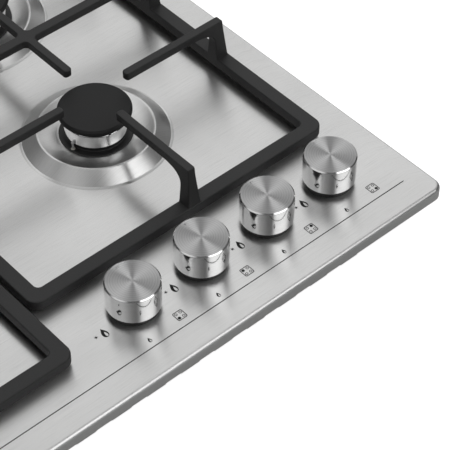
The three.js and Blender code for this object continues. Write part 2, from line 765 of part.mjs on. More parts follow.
// The crown: a polished band, and above it a ring of flame ports that the cap overhangs.
function burnerCrown(burner) {
  const crown = burner.size.crown;
  const inner = crown - CROWN_WALL;
  const bandTop = CROWN_BOTTOM + CROWN_BAND;
  const ring = turned(
    [
      [inner, CROWN_BOTTOM],
      [crown, CROWN_BOTTOM],
      [crown, bandTop],
      [crown - PORT_INSET, bandTop],
      [crown - PORT_INSET, crownTop],
      [inner, crownTop],
      [inner, CROWN_BOTTOM],
    ],
    WIDE_STEPS,
    burner.x,
    burner.y,
  );
  const cuts = [];
  for (let i = 0; i < burner.size.ports; i++) {
    const turn = (360 * (i + 0.5)) / burner.size.ports;
    const half = PORT_WIDTH / 2;
    const slot = block(inner - 1, crown, -half, half, bandTop + PORT_SILL, crownTop + 1);
    cuts.push(slot.rotateZ(THREE.MathUtils.degToRad(turn)).translate(burner.x, burner.y, 0));
  }
  for (const angle of [burner.igniter, burner.sensor]) {
    const [x, y] = probePlace(burner, angle);
    const notch = PROBE_RADIUS + PROBE_ROOM;
    cuts.push(cylinder(notch, CROWN_BOTTOM - 1, PROBE_NOTCH_TOP, PROBE_STEPS, x, y));
  }
  return cut(ring, ...cuts);
}

function burnerCap(burner) {
  const edge = burner.size.cap;
  const recess = burner.size.crown - CROWN_WALL - RUN_GAP;
  return turned(
    [
      [0, capBottom - CAP_SPIGOT],
      [recess, capBottom - CAP_SPIGOT],
      [recess, capBottom],
      [edge, capBottom],
      [edge, capBottom + CAP_HEIGHT - CAP_CHAMFER],
      [edge - CAP_CHAMFER, capBottom + CAP_HEIGHT],
      [0, capBottom + CAP_HEIGHT],
    ],
    WIDE_STEPS,
    burner.x,
    burner.y,
  );
}

function probe(burner, angle, shoulder, tip) {
  const [x, y] = probePlace(burner, angle);
  return turned(
    [
      [0, PROBE_BOTTOM],
      [PROBE_RADIUS, PROBE_BOTTOM],
      [PROBE_RADIUS, shoulder],
      [PROBE_TIP_RADIUS, shoulder + 0.6],
      [PROBE_TIP_RADIUS, tip],
      [0, tip],
    ],
    PROBE_STEPS,
    x,
    y,
  );
}

for (const burner of burners) {
  add(`burner_holder_${burner.name}`, burnerHolder(burner), castAluminium);
  add(`burner_crown_${burner.name}`, burnerCrown(burner), polishedAluminium);
  add(`burner_cap_${burner.name}`, burnerCap(burner), blackEnamel);
  add(`igniter_${burner.name}`, probe(burner, burner.igniter, IGNITER_TOP, IGNITER_TIP), ceramic);
  add(`flame_sensor_${burner.name}`, probe(burner, burner.sensor, SENSOR_TOP, SENSOR_TIP), brass);
}

// ---- Knobs and gas taps -------------------------------------------------------------------------

// A metal knob: a shell with a chamfered top and lower edge, a hub inside with a D bore
// for the spindle, and a small pressed mark near the rim that points to the back when it is off.
function knob(x) {
  const inside = KNOB_RADIUS - KNOB_WALL;
  const roof = KNOB_TOP - KNOB_ROOF;
  const bore = SPINDLE_RADIUS + SEAT_GAP;
  const body = turned(
    [
      [inside, KNOB_BOTTOM],
      [KNOB_RADIUS - KNOB_FOOT_CHAMFER, KNOB_BOTTOM],
      [KNOB_RADIUS, KNOB_BOTTOM + KNOB_FOOT_CHAMFER],
      [KNOB_RADIUS, KNOB_TOP - KNOB_CHAMFER],
      [KNOB_RADIUS - KNOB_CHAMFER, KNOB_TOP],
      [0, KNOB_TOP],
      [0, SPINDLE_TOP + SEAT_GAP],
      [bore, SPINDLE_TOP + SEAT_GAP],
      [bore, KNOB_HUB_BOTTOM],
      [KNOB_HUB_RADIUS, KNOB_HUB_BOTTOM],
      [KNOB_HUB_RADIUS, roof],
      [inside, roof],
      [inside, KNOB_BOTTOM],
    ],
    WIDE_STEPS,
    x,
    knobRowY,
  );
  const flatY = knobRowY + SPINDLE_RADIUS - SPINDLE_FLAT + SEAT_GAP;
  const flat = block(x - bore, x + bore, flatY, knobRowY + bore + 1, KNOB_HUB_BOTTOM, roof);
  const mark = cylinder(
    DIMPLE_RADIUS,
    KNOB_TOP - DIMPLE_DEPTH,
    KNOB_TOP + 1,
    8,
    x,
    knobRowY + DIMPLE_OFFSET,
  );
  return cut(join(body, flat), mark);
}

const collarRadius = KNOB_RADIUS - KNOB_WALL - RUN_GAP;

function knobCollar(x) {
  return turned(
    [
      [COLLAR_BORE, SEAT_GAP],
      [collarRadius, SEAT_GAP],
      [collarRadius, SEAT_GAP + COLLAR_HEIGHT],
      [COLLAR_BORE, SEAT_GAP + COLLAR_HEIGHT],
      [COLLAR_BORE, SEAT_GAP],
    ],
    STEPS,
    x,
    knobRowY,
  );
}

function spindle(x) {
  const rod = cylinder(SPINDLE_RADIUS, SPINDLE_BOTTOM, SPINDLE_TOP, FINE_STEPS, x, knobRowY);
  const flatY = knobRowY + SPINDLE_RADIUS - SPINDLE_FLAT;
  const side = SPINDLE_RADIUS + 1;
  const back = knobRowY + side;
  const flat = block(x - side, x + side, flatY, back, SPINDLE_FLAT_BOTTOM, SPINDLE_TOP + 1);
  return cut(rod, flat);
}

const valveTop = panUnderside - SEAT_GAP;
const plugTop = VALVE_SHOULDER;
const plugBottom = VALVE_BOTTOM + VALVE_FLOOR + SEAT_GAP;

function valveBody(x) {
  const bore = PLUG_RADIUS + RUN_GAP;
  return turned(
    [
      [0, VALVE_BOTTOM],
      [VALVE_RADIUS, VALVE_BOTTOM],
      [VALVE_RADIUS, VALVE_SHOULDER],
      [VALVE_NECK_RADIUS, VALVE_SHOULDER],
      [VALVE_NECK_RADIUS, valveTop],
      [bore, valveTop],
      [bore, VALVE_BOTTOM + VALVE_FLOOR],
      [0, VALVE_BOTTOM + VALVE_FLOOR],
    ],
    STEPS,
    x,
    knobRowY,
  );
}

function valvePlug(x) {
  const bore = SPINDLE_RADIUS + RUN_GAP;
  return turned(
    [
      [0, plugBottom],
      [PLUG_RADIUS, plugBottom],
      [PLUG_RADIUS, plugTop],
      [bore, plugTop],
      [bore, plugTop - PLUG_BORE_DEPTH],
      [0, plugTop - PLUG_BORE_DEPTH],
    ],
    FINE_STEPS,
    x,
    knobRowY,
  );
}

burners.forEach((burner, i) => {
  const x = knobX(i);
  add(`knob_${burner.name}`, knob(x), chrome);
  add(`knob_collar_${burner.name}`, knobCollar(x), blackPlastic);
  add(`spindle_${burner.name}`, spindle(x), zincSteel);
  add(`valve_body_${burner.name}`, valveBody(x), brass);
  add(`valve_plug_${burner.name}`, valvePlug(x), brass);
});

// ---- Gas rail, pipes and inlet ------------------------------------------------------------------

const point = (x, y) => new THREE.Vector3(x, y, gasLevel);
const railY = knobRowY - VALVE_RADIUS - SEAT_GAP - RAIL_RADIUS;
const railLaneX = panRight - RAIL_LANE;
const inletStart = trayHalfY - INLET_INSIDE;

add(
  "gas_rail",
  levelTube(
    [
      point(knobX(0) - RAIL_OVERHANG, railY),
      point(railLaneX, railY),
      point(railLaneX, inletStart - SEAT_GAP),
    ],
    RAIL_RADIUS,
    RAIL_BEND,
    FINE_STEPS,
  ),
  pipeAluminium,
);

function wallFitting(x, radius, nutRadius, boreRadius, inside, outside) {
  const start = trayHalfY - inside;
  const wallFace = trayHalfY - TRAY_SHEET - SEAT_GAP;
  const profile = [
    [boreRadius, 0],
    [nutRadius, 0],
    [nutRadius, wallFace - start],
    [radius, wallFace - start],
    [radius, inside + outside],
    [boreRadius, inside + outside],
    [boreRadius, 0],
  ];
  return rearward(profile).translate(x, start, gasLevel);
}

add(
  "gas_inlet",
  wallFitting(railLaneX, INLET_RADIUS, INLET_NUT_RADIUS, INLET_BORE, INLET_INSIDE, INLET_OUTSIDE),
  brass,
);

const pipeStart = knobRowY + VALVE_RADIUS + SEAT_GAP;
const jetReach = JET_BLOCK_RADIUS + SEAT_GAP;
const leftLaneX = burnerColumn - LEFT_PIPE_LANE;
const rightLaneX = burnerColumn - RIGHT_PIPE_LANE;

const pipeRoutes = {
  front_left: [point(knobX(0), frontLeft.y), point(frontLeft.x + jetReach, frontLeft.y)],
  rear_left: [
    point(knobX(1), pipeStart + LEFT_PIPE_TURN),
    point(leftLaneX, pipeStart + LEFT_PIPE_TURN),
    point(leftLaneX, rearLeft.y),
    point(rearLeft.x + jetReach, rearLeft.y),
  ],
  rear_right: [
    point(knobX(2), pipeStart + RIGHT_PIPE_TURN),
    point(rightLaneX, pipeStart + RIGHT_PIPE_TURN),
    point(rightLaneX, rearRight.y),
    point(rearRight.x - jetReach, rearRight.y),
  ],
  front_right: [point(knobX(3), frontRight.y), point(frontRight.x + jetReach, frontRight.y)],
};

burners.forEach((burner, i) => {
  const route = [point(knobX(i), pipeStart), ...pipeRoutes[burner.name]];
  add(
    `gas_pipe_${burner.name}`,
    levelTube(route, PIPE_RADIUS, PIPE_BEND, 8),
    pipeAluminium,
  );
});

// ---- Electrical pieces and clamps ---------------------------------------------------------------

function floorBox(x, y, length, depth, height, radius) {
  const outline = roundedRectangle(length / 2, depth / 2, radius, 2, x, y);
  const bottom = trayFloor + SEAT_GAP;
  return plate(outline, bottom, bottom + height);
}

const moduleY = -trayHalfY + MODULE_FROM_WALL + MODULE_DEPTH / 2;
add(
  "ignition_module",
  floorBox(-burnerColumn, moduleY, MODULE_LENGTH, MODULE_DEPTH, MODULE_HEIGHT, 3),
  blackPlastic,
);

const glandX = -railLaneX;
const terminalX = -trayHalfX + TERMINAL_FROM_WALL + TERMINAL_LENGTH / 2;
const terminalY = trayHalfY - GLAND_INSIDE - SEAT_GAP - TERMINAL_DEPTH / 2;
add(
  "terminal_block",
  floorBox(terminalX, terminalY, TERMINAL_LENGTH, TERMINAL_DEPTH, TERMINAL_HEIGHT, 2),
  blackPlastic,
);
add(
  "cable_gland",
  wallFitting(glandX, GLAND_RADIUS, GLAND_NUT_RADIUS, GLAND_BORE, GLAND_INSIDE, GLAND_OUTSIDE),
  blackPlastic,
);

// A bent strip on the tray's side wall: its foot grips the underside of the worktop.
function worktopClamp(side, y) {
  const wall = side * (trayHalfX + SEAT_GAP);
  const low = -TRAY_DEPTH + 1;
  const x = (offset) => wall + side * offset;
  const range = (a, b) => [Math.min(x(a), x(b)), Math.max(x(a), x(b))];
  const half = CLAMP_WIDTH / 2;
  const strap = block(...range(0, CLAMP_SHEET), y - half, y + half, low, low + CLAMP_DROP);
  const foot = block(...range(0, CLAMP_REACH), y - half, y + half, low, low + CLAMP_SHEET);
  const end = range(CLAMP_REACH - CLAMP_SHEET, CLAMP_REACH);
  const claw = block(...end, y - half, y + half, low, low + CLAMP_CLAW);
  return join(strap, foot, claw);
}

for (const [side, sideName] of [
  [-1, "left"],
  [1, "right"],
]) {
  add(`worktop_clamp_front_${sideName}`, worktopClamp(side, -CLAMP_SPREAD), zincSteel);
  add(`worktop_clamp_rear_${sideName}`, worktopClamp(side, CLAMP_SPREAD), zincSteel);
}

export default cooktop;
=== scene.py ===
"""Looks of a built-in gas cooktop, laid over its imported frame.

Lengths here are in millimetres, and heights are taken from the pan's flat top face, as a drawing
of the hob has them. put() turns both into the frame's metres.
"""

import bmesh
import bpy
import numpy as np
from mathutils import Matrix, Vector
from mathutils.geometry import tessellate_polygon


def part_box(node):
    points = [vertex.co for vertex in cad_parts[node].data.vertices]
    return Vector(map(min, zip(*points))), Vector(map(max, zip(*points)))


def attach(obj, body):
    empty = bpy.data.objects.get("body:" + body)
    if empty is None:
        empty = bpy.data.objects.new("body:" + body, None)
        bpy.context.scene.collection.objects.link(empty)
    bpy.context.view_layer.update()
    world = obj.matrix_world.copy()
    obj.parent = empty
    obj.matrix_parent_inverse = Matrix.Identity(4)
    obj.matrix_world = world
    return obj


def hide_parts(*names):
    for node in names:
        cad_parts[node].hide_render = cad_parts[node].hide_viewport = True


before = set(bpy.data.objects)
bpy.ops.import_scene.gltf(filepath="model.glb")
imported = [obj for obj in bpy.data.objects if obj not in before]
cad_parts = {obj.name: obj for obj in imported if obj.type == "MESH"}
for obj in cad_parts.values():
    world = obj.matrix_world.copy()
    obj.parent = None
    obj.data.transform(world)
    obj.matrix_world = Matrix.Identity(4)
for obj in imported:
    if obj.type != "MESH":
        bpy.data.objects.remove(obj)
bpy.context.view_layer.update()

MM = 0.001
PAN_TOP = 36.0  # the pan's flat top above the tray's underside
BURNERS = ("front_left", "rear_left", "rear_right", "front_right")
QUARTERS = ((1, 1), (-1, 1), (-1, -1), (1, -1))  # signs of x and y, anticlockwise


def box_mm(node):
    """The lowest and highest corner of a node, in mm from the pan's top face."""
    low, high = (np.array(corner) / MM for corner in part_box(node))
    return low - (0, 0, PAN_TOP), high - (0, 0, PAN_TOP)


def middle_of(node):
    """The plan middle of a turned node, which is its axis."""
    low, high = box_mm(node)
    return ((low + high) / 2)[:2]


def radius_of(node):
    low, high = box_mm(node)
    return (high - low)[1] / 2


# ---- Surfaces -----------------------------------------------------------------------------------


def in_scene(name, data):
    """A new object for a mesh, lamp or camera, linked to the scene."""
    obj = bpy.data.objects.new(name, data)
    bpy.context.scene.collection.objects.link(obj)
    return obj


def full_turn(count):
    """Evenly spaced angles once round."""
    return np.linspace(0, 2 * np.pi, count, endpoint=False)


def towards(turn):
    """Unit vectors (cos t, sin t)."""
    return np.stack([np.cos(turn), np.sin(turn)], -1)


def put(name, points, faces, sheet=None, smooth_below=38.0):
    """A new object at the origin from points (n, 3) in mm and faces of point numbers.

    Doubled points are merged, which closes seams and poles, and faces that lose their area go.
    sheet is a flat coordinate (n, 2) in mm for each point, kept as a UV map for the brushed grain.
    """
    mesh = bpy.data.meshes.new(name)
    lifted = (np.asarray(points, float) + (0, 0, PAN_TOP)) * MM
    mesh.from_pydata(lifted.tolist(), [], [tuple(int(i) for i in face) for face in faces])
    if sheet is not None:
        corners = np.empty(len(mesh.loops), dtype=np.int32)
        mesh.loops.foreach_get("vertex_index", corners)
        layer = mesh.uv_layers.new(name="sheet")
        layer.data.foreach_set("uv", np.asarray(sheet, float)[corners].ravel())
    work = bmesh.new()
    work.from_mesh(mesh)
    bmesh.ops.remove_doubles(work, verts=work.verts, dist=2e-6)
    bmesh.ops.dissolve_degenerate(work, edges=work.edges, dist=1e-7)
    if all(edge.is_manifold for edge in work.edges):
        bmesh.ops.recalc_face_normals(work, faces=work.faces)
    work.to_mesh(mesh)
    work.free()
    mesh.shade_smooth()
    mesh.set_sharp_from_angle(angle=np.radians(smooth_below))
    return in_scene(name, mesh)


def weave(rows, columns, rings=True, loop=False):
    """Faces of a grid of points: (i, j), (i, j + 1), (i + 1, j + 1), (i + 1, j).

    With rings each row closes on itself, and with loop the last row is joined to the first.
    """
    i = np.arange(rows if loop else rows - 1)[:, None]
    j = np.arange(columns if rings else columns - 1)[None, :]
    right = (j + 1) % columns
    above = (i + 1) % rows
    grid = np.stack(
        [i * columns + j, i * columns + right, above * columns + right, above * columns + j], -1
    )
    return grid.reshape(-1, 4)


def capped(rows, columns):
    """Faces of a grid of closed rings, with one more face over its first ring and its last."""
    faces = [tuple(face) for face in weave(rows, columns)]
    faces.append(tuple(range(columns)))
    faces.append(tuple(range((rows - 1) * columns, rows * columns)))
    return faces


def rounded(corners, steps=5, brace=0.12):
    """A profile through (across, height, fillet radius) corners, its corners turned on arcs.

    An arc of radius r touches both sides at r / tan(half the corner's angle) from the corner. A
    brace point just past each end of an arc keeps the flat beside it flat when it is shaded.
    """
    points = []
    for k, (x, z, radius) in enumerate(corners):
        here = np.array([x, z], float)
        if radius == 0 or k in (0, len(corners) - 1):
            points.append(here)
            continue
        back = np.array(corners[k - 1][:2], float) - here
        ahead = np.array(corners[k + 1][:2], float) - here
        back_unit, ahead_unit = back / np.linalg.norm(back), ahead / np.linalg.norm(ahead)
        half = np.arccos(np.clip(back_unit @ ahead_unit, -1, 1)) / 2
        touch = radius / np.tan(half)
        centre = here + (back_unit + ahead_unit) / (2 * np.cos(half)) * radius / np.sin(half)
        start, end = here + back_unit * touch - centre, here + ahead_unit * touch - centre
        turn = np.pi - 2 * half
        share = np.linspace(0, 1, steps + 1)[:, None]
        blend = np.sin((1 - share) * turn) * start + np.sin(share * turn) * end
        points.append(here + back_unit * (touch + brace))
        points.extend(centre + blend / np.sin(turn))
        points.append(here + ahead_unit * (touch + brace))
    return np.array(points)


def turned(profile, columns=96, centre=(0.0, 0.0)):
    """Points and faces of a profile (r, z) turned about a vertical axis:
    (centre + r (cos t, sin t), z) for each profile point and each of the turns t."""
    turn = full_turn(columns)
    radius, height = profile[:, :1], profile[:, 1:]
    x = centre[0] + radius * np.cos(turn)
    y = centre[1] + radius * np.sin(turn)
    points = np.stack([x, y, np.broadcast_to(height, x.shape)], -1).reshape(-1, 3)
    return points, weave(len(profile), columns)


def turned_piece(name, profile, centre, columns=96):
    points, faces = turned(profile, columns, centre)
    return put(name, points, faces)


def plan_rectangle(half, radius, centre=(0.0, 0.0), steps=10):
    """A rounded rectangle in plan, anticlockwise: the middle of each corner's arc plus
    radius (cos t, sin t), over a quarter turn at each corner."""
    half = np.array(half, float)
    t = np.radians(np.linspace(0, 90, steps + 1))
    parts = []
    for k, sign in enumerate(QUARTERS):
        middle = np.array(sign) * (half - radius)
        parts.append(middle + radius * towards(t + k * np.pi / 2))
    return np.concatenate(parts) + centre


def joined(*shapes):
    """Several (points, faces) shapes as one."""
    points, faces, count = [], [], 0
    for shape_points, shape_faces in shapes:
        points.append(np.asarray(shape_points, float))
        faces.extend([tuple(int(i) + count for i in face) for face in shape_faces])
        count += len(shape_points)
    return np.concatenate(points), faces


def dress(piece, body, slot, material, *nodes):
    """Gives a finished piece its body and material, and hides the nodes that it stands for. slot is
    not used.
    """
    piece.data.materials.clear()
    piece.data.materials.append(material)
    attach(piece, body)
    if nodes:
        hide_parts(*nodes)
    return piece


def modified(piece, kind, **settings):
    modifier = piece.modifiers.new(kind.title(), kind)
    for key, value in settings.items():
        setattr(modifier, key, value)
    return modifier


# ---- Materials ----------------------------------------------------------------------------------


class Finish:
    """A Principled material and short ways to add the nodes that shape it."""

    def __init__(self, name, **sockets):
        self.material = bpy.data.materials.new(name)
        self.material.use_nodes = True
        self.nodes = self.material.node_tree.nodes
        self.links = self.material.node_tree.links
        self.shader = self.nodes["Principled BSDF"]
        for key, value in sockets.items():
            socket = self.shader.inputs[key.replace("_", " ")]
            socket.default_value = (*value, 1.0) if isinstance(value, tuple) else value

    def node(self, kind, inputs=None, **settings):
        made = self.nodes.new("ShaderNode" + kind)
        for key, value in settings.items():
            setattr(made, key, value)
        for key, value in (inputs or {}).items():
            if isinstance(value, bpy.types.NodeSocket):
                self.links.new(value, made.inputs[key])
            else:
                made.inputs[key].default_value = value
        return made

    def object_coordinates(self):
        return self.node("TexCoord").outputs["Object"]

    def sheet_coordinates(self):
        return self.node("UVMap", uv_map="sheet").outputs["UV"]

    def sheet_tangent(self):
        return self.node("Tangent", direction_type="UV_MAP", uv_map="sheet").outputs["Tangent"]

    def noise(self, vector, stretch=(1.0, 1.0, 1.0), scale=1.0, detail=3.0, roughness=0.55):
        mapped = self.node("Mapping", {"Vector": vector, "Scale": stretch})
        noise = self.node(
            "TexNoise",
            {
                "Vector": mapped.outputs["Vector"],
                "Scale": scale,
                "Detail": detail,
                "Roughness": roughness,
            },
        )
        return noise.outputs["Fac"]

    def spread(self, value, low, high, start=0.3, end=0.7):
        """Maps a value's middle range onto low to high."""
        made = self.node(
            "MapRange",
            {"Value": value, "From Min": start, "From Max": end, "To Min": low, "To Max": high},
        )
        return made.outputs["Result"]

    def ramp(self, value, dark, light, start=0.3, end=0.7):
        made = self.node("ValToRGB", {"Fac": value})
        first, last = made.color_ramp.elements
        first.position, last.position = start, end
        first.color, last.color = (*dark, 1.0), (*light, 1.0)
        return made.outputs["Color"]

    def bump(self, height, distance, strength):
        inputs = {"Height": height, "Distance": distance, "Strength": strength}
        return self.node("Bump", inputs).outputs["Normal"]

    def feed(self, **sockets):
        for key, value in sockets.items():
            self.links.new(value, self.shader.inputs[key.replace("_", " ")])
        return self


def brushed_steel():
    """Stainless sheet with a hairline grain along X, which smears what it reflects along Y."""
    look = Finish("brushed_steel", Metallic=1.0, Anisotropic=0.82, Anisotropic_Rotation=0.25)
    sheet = look.sheet_coordinates()
    hair = look.noise(sheet, (0.02, 3.2, 1.0), detail=5.0, roughness=0.75)
    fine = look.noise(sheet, (0.05, 9.0, 1.0), detail=2.0)
    cloud = look.noise(sheet, (0.010, 0.016, 1.0), detail=2.0)
    tone = look.node("Math", {0: hair, 1: fine}, operation="ADD").outputs["Value"]
    colour = look.ramp(tone, (0.50, 0.50, 0.495), (0.67, 0.67, 0.665), 0.7, 1.3)
    rough = look.spread(cloud, 0.27, 0.33)
    return look.feed(
        Base_Color=colour,
        Roughness=rough,
        Tangent=look.sheet_tangent(),
        Normal=look.bump(tone, 0.00002, 0.35),
    ).material


def cast_iron():
    """Black enamel on cast iron: matte, with the casting's fine pitted skin."""
    look = Finish("cast_iron", Specular_IOR_Level=0.42)
    place = look.object_coordinates()
    skin = look.noise(place, scale=900.0, detail=4.0, roughness=0.7)
    swell = look.noise(place, scale=60.0, detail=2.0)
    colour = look.ramp(skin, (0.019, 0.019, 0.0195), (0.032, 0.032, 0.032))
    rough = look.spread(skin, 0.48, 0.66)
    height = look.node("Math", {0: skin, 1: swell}, operation="ADD").outputs["Value"]
    normal = look.bump(height, 0.00012, 0.5)
    return look.feed(Base_Color=colour, Roughness=rough, Normal=normal).material


def cap_enamel():
    look = Finish("cap_enamel", Specular_IOR_Level=0.25)
    place = look.object_coordinates()
    skin = look.noise(place, scale=1500.0, detail=3.0, roughness=0.6)
    colour = look.ramp(skin, (0.015, 0.015, 0.0155), (0.022, 0.022, 0.022))
    rough = look.spread(skin, 0.5, 0.62)
    normal = look.bump(skin, 0.00004, 0.5)
    return look.feed(Base_Color=colour, Roughness=rough, Normal=normal).material


def polished(name, tone, rough, streak):
    """Machined and polished metal with faint turning lines round it."""
    look = Finish(name, Metallic=1.0)
    place = look.object_coordinates()
    lines = look.noise(place, (8.0, 8.0, streak), detail=3.0, roughness=0.6)
    colour = look.ramp(lines, tuple(0.94 * t for t in tone), tone)
    return look.feed(
        Base_Color=colour,
        Roughness=look.spread(lines, rough * 0.8, rough * 1.3),
        Normal=look.bump(lines, 0.000004, 0.3),
    ).material


TURNING_PITCH = 1.7  # mm between the broader rings of the knob's spun face


def spun_top():
    """The knob's spun face: fine rings round its axis, kept in the sheet map as (turn, radius)."""
    look = Finish("spun_metal", Metallic=1.0, Anisotropic=1.0, Anisotropic_Rotation=0.25)
    sheet = look.sheet_coordinates()
    rings = look.noise(sheet, (0.0, 2.4, 1.0), detail=4.0, roughness=0.7)
    radius = look.node("SeparateXYZ", {0: sheet}).outputs["Y"]
    turns = look.node("Math", {0: radius, 1: 2 * np.pi / TURNING_PITCH}, operation="MULTIPLY")
    wave = look.node("Math", {0: turns.outputs["Value"]}, operation="SINE").outputs["Value"]
    depth = look.node(
        "MapRange", {"Value": wave, "From Min": -1.0, "To Min": -0.05, "To Max": 0.05}
    )
    mixed = look.node("Math", {0: rings, 1: depth.outputs["Result"]}, operation="ADD")
    colour = look.ramp(mixed.outputs["Value"], (0.55, 0.55, 0.55), (0.8, 0.8, 0.8))
    return look.feed(
        Base_Color=colour,
        Roughness=look.spread(rings, 0.5, 0.6),
        Tangent=look.sheet_tangent(),
        Normal=look.bump(rings, 0.00008, 0.4),
    ).material


def plain(name, dark, light, rough, grain, metallic=0.0, depth=0.00004):
    """A material whose colour and roughness wander a little with a fine grain."""
    look = Finish(name, Metallic=metallic)
    place = look.object_coordinates()
    speck = look.noise(place, scale=grain, detail=3.0, roughness=0.6)
    return look.feed(
        Base_Color=look.ramp(speck, dark, light),
        Roughness=look.spread(speck, rough * 0.85, rough * 1.15),
        Normal=look.bump(speck, depth, 0.4),
    ).material


def grey(level):
    return (level, level, level)


STEEL = brushed_steel()
IRON = cast_iron()
ENAMEL = cap_enamel()
CROWN_METAL = polished("polished_crown", grey(0.86), 0.1, 900.0)
CHROME = polished("knob_chrome", grey(0.84), 0.07, 700.0)
SPUN = spun_top()
# The dark casting is the burner holders' own colour, and on the crowns' rings of teeth it is
# painted shade under the caps.
CASTING_AND_PAINTED_SHADE = plain("dark_casting_and_painted_shade", grey(0.012), grey(0.02), 0.5, 700.0)
PLASTIC = plain("black_plastic", grey(0.01), grey(0.014), 0.5, 1800.0, depth=0.00001)
INK = plain("printed_ink", grey(0.008), grey(0.014), 0.85, 3000.0, depth=0.000002)
ZINC = plain("zinc_sheet", grey(0.5), grey(0.6), 0.42, 160.0, 0.45, depth=0.00001)
BRASS = plain("turned_brass", (0.5, 0.36, 0.16), (0.62, 0.46, 0.22), 0.32, 400.0, 1.0, 0.00001)
TUBE = plain("drawn_tube", grey(0.6), grey(0.7), 0.3, 220.0, 1.0, 0.00001)
CERAMIC = plain("glazed_ceramic", (0.42, 0.4, 0.36), (0.52, 0.5, 0.46), 0.3, 500.0)
RUBBER = plain("black_rubber", grey(0.014), grey(0.022), 0.8, 1200.0)

# ---- Pressed pan --------------------------------------------------------------------------------

PAN_SHEET = 1.0
PAN_CORNER = 9.0
PAN_ROLL = 3.0
SKIRT = 10.0
SKIRT_FLANGE = 12.0
MOUND_SLOPE = 11.1
MOUND_HEIGHT = 7.6
MOUND_ROUND = 1.0  # fillet at the foot and the crest of the slope
MOUND_APRON = 4.0  # the ring starts this far out on the flat pan
CREST_WIDTH = 4.0
CREST_FALL = 1.6  # from the slope's top corner to the start of the dish
DISH_HEIGHT = 3.3
DISH_POWER = 1.8
MOUND_COLUMNS = 144
TAP_HOLE = 7.0
TAP_HOLE_POINTS = 32
BASE_OVERHANG = 4.0
HOLE_GAP = 0.4
MOUND_RADIUS = {"front_left": 76.0, "rear_left": 64.0, "rear_right": 64.0, "front_right": 54.0}

pan_low, pan_high = box_mm("top_plate")
pan_half = (pan_high - pan_low)[:2] / 2


def crown_radius(burner):
    return radius_of(f"burner_crown_{burner}")


def cap_radius(burner):
    return radius_of(f"burner_cap_{burner}")


def pan_rim():
    """A profile carried round the pan's outline: each ring is the outline drawn in by the
    profile's inset, at its height. The sheet map lays the same profile out flat."""
    profile = rounded(
        [
            (SKIRT_FLANGE, -SKIRT, 0),
            (0.0, -SKIRT, 0.5),
            (0.0, 0.0, PAN_ROLL),
            (SKIRT_FLANGE, 0.0, 0),
        ],
        steps=10,
    )
    length = np.concatenate([[0], np.cumsum(np.linalg.norm(np.diff(profile, axis=0), axis=1))])
    unrolled = length[-1] - length
    rings, flats = [], []
    inner = plan_rectangle(pan_half - SKIRT_FLANGE, 1.0)
    outward = plan_rectangle((2.0, 2.0), 1.0) - plan_rectangle((1.0, 1.0), 0.0)
    for (inset, height), out in zip(profile, unrolled):
        ring = plan_rectangle(pan_half - inset, max(PAN_CORNER - inset, 1.0))
        rings.append(np.column_stack([ring, np.full(len(ring), height)]))
        flats.append(inner + outward * out)
    return np.concatenate(rings), weave(len(profile), len(inner)), np.concatenate(flats), inner


def mound_profile(burner):
    """Height over radius of a burner's pressed ring, from the flat pan in to the hole: a straight
    slope up to a rounded crest, then a dish that falls off with a power of the way left."""
    outer = MOUND_RADIUS[burner]
    crest = outer - MOUND_SLOPE
    hole = crown_radius(burner) + BASE_OVERHANG + HOLE_GAP
    lead = rounded(
        [
            (outer + MOUND_APRON, 0, 0),
            (outer, 0, MOUND_ROUND),
            (crest, MOUND_HEIGHT, MOUND_ROUND),
            (crest - CREST_WIDTH, MOUND_HEIGHT - CREST_FALL, 0),
        ],
        steps=8,
    )[:-1]
    last_radius, last_height = lead[-1]
    share = np.linspace(1, 0, 26)[1:]
    dish = np.column_stack(
        [
            hole + share * (last_radius - hole),
            DISH_HEIGHT + (last_height - DISH_HEIGHT) * share**DISH_POWER,
        ]
    )
    lip = np.array([[hole - 0.12, DISH_HEIGHT - 0.25]])
    return np.concatenate([lead, dish, lip])


def sharpen_open_edges(piece):
    """Marks the edges that only one face uses, so that shading stops at holes and open rims."""
    uses = np.zeros(len(piece.data.edges), dtype=int)
    edge_of_corner = np.empty(len(piece.data.loops), dtype=np.int32)
    piece.data.loops.foreach_get("edge_index", edge_of_corner)
    np.add.at(uses, edge_of_corner, 1)
    sharp = piece.data.attributes.get("sharp_edge") or piece.data.attributes.new(
        "sharp_edge", "BOOLEAN", "EDGE"
    )
    marks = np.empty(len(uses), dtype=bool)
    sharp.data.foreach_get("value", marks)
    sharp.data.foreach_set("value", marks | (uses == 1))


def pan():
    """The rolled rim, the four pressed rings and, between them, the flat as a filled outline."""
    points, faces, sheet, outline = pan_rim()
    loops = [np.column_stack([outline, np.zeros(len(outline))])]
    shapes = [(points, faces)]
    flats = [sheet]
    for burner in BURNERS:
        centre = middle_of(f"burner_cap_{burner}")
        ring_points, ring_faces = turned(mound_profile(burner), MOUND_COLUMNS, centre)
        shapes.append((ring_points, ring_faces[:, ::-1]))
        flats.append(ring_points[:, :2])
        loops.append(ring_points[:MOUND_COLUMNS])
        tap = middle_of(f"knob_{burner}")
        hole = tap + TAP_HOLE * towards(full_turn(TAP_HOLE_POINTS))
        loops.append(np.column_stack([hole, np.zeros(len(hole))]))
    flat = np.concatenate(loops)
    triangles = tessellate_polygon([[Vector(p) for p in loop] for loop in loops])
    a, b, c = (flat[[t[k] for t in triangles]][:, :2] for k in range(3))
    area = (b - a)[:, 0] * (c - a)[:, 1] - (b - a)[:, 1] * (c - a)[:, 0]
    level = [t if s > 0 else t[::-1] for t, s in zip(triangles, area) if abs(s) > 1e-9]
    shapes.append((flat, level))
    flats.append(flat[:, :2])
    all_points, all_faces = joined(*shapes)
    piece = put("pan", all_points, all_faces, sheet=np.concatenate(flats))
    sharpen_open_edges(piece)
    modified(piece, "SOLIDIFY", thickness=PAN_SHEET * MM, offset=-1.0)
    return dress(piece, "hob", "brushed_pan", STEEL, "top_plate")


pan()

# ---- Grates -------------------------------------------------------------------------------------

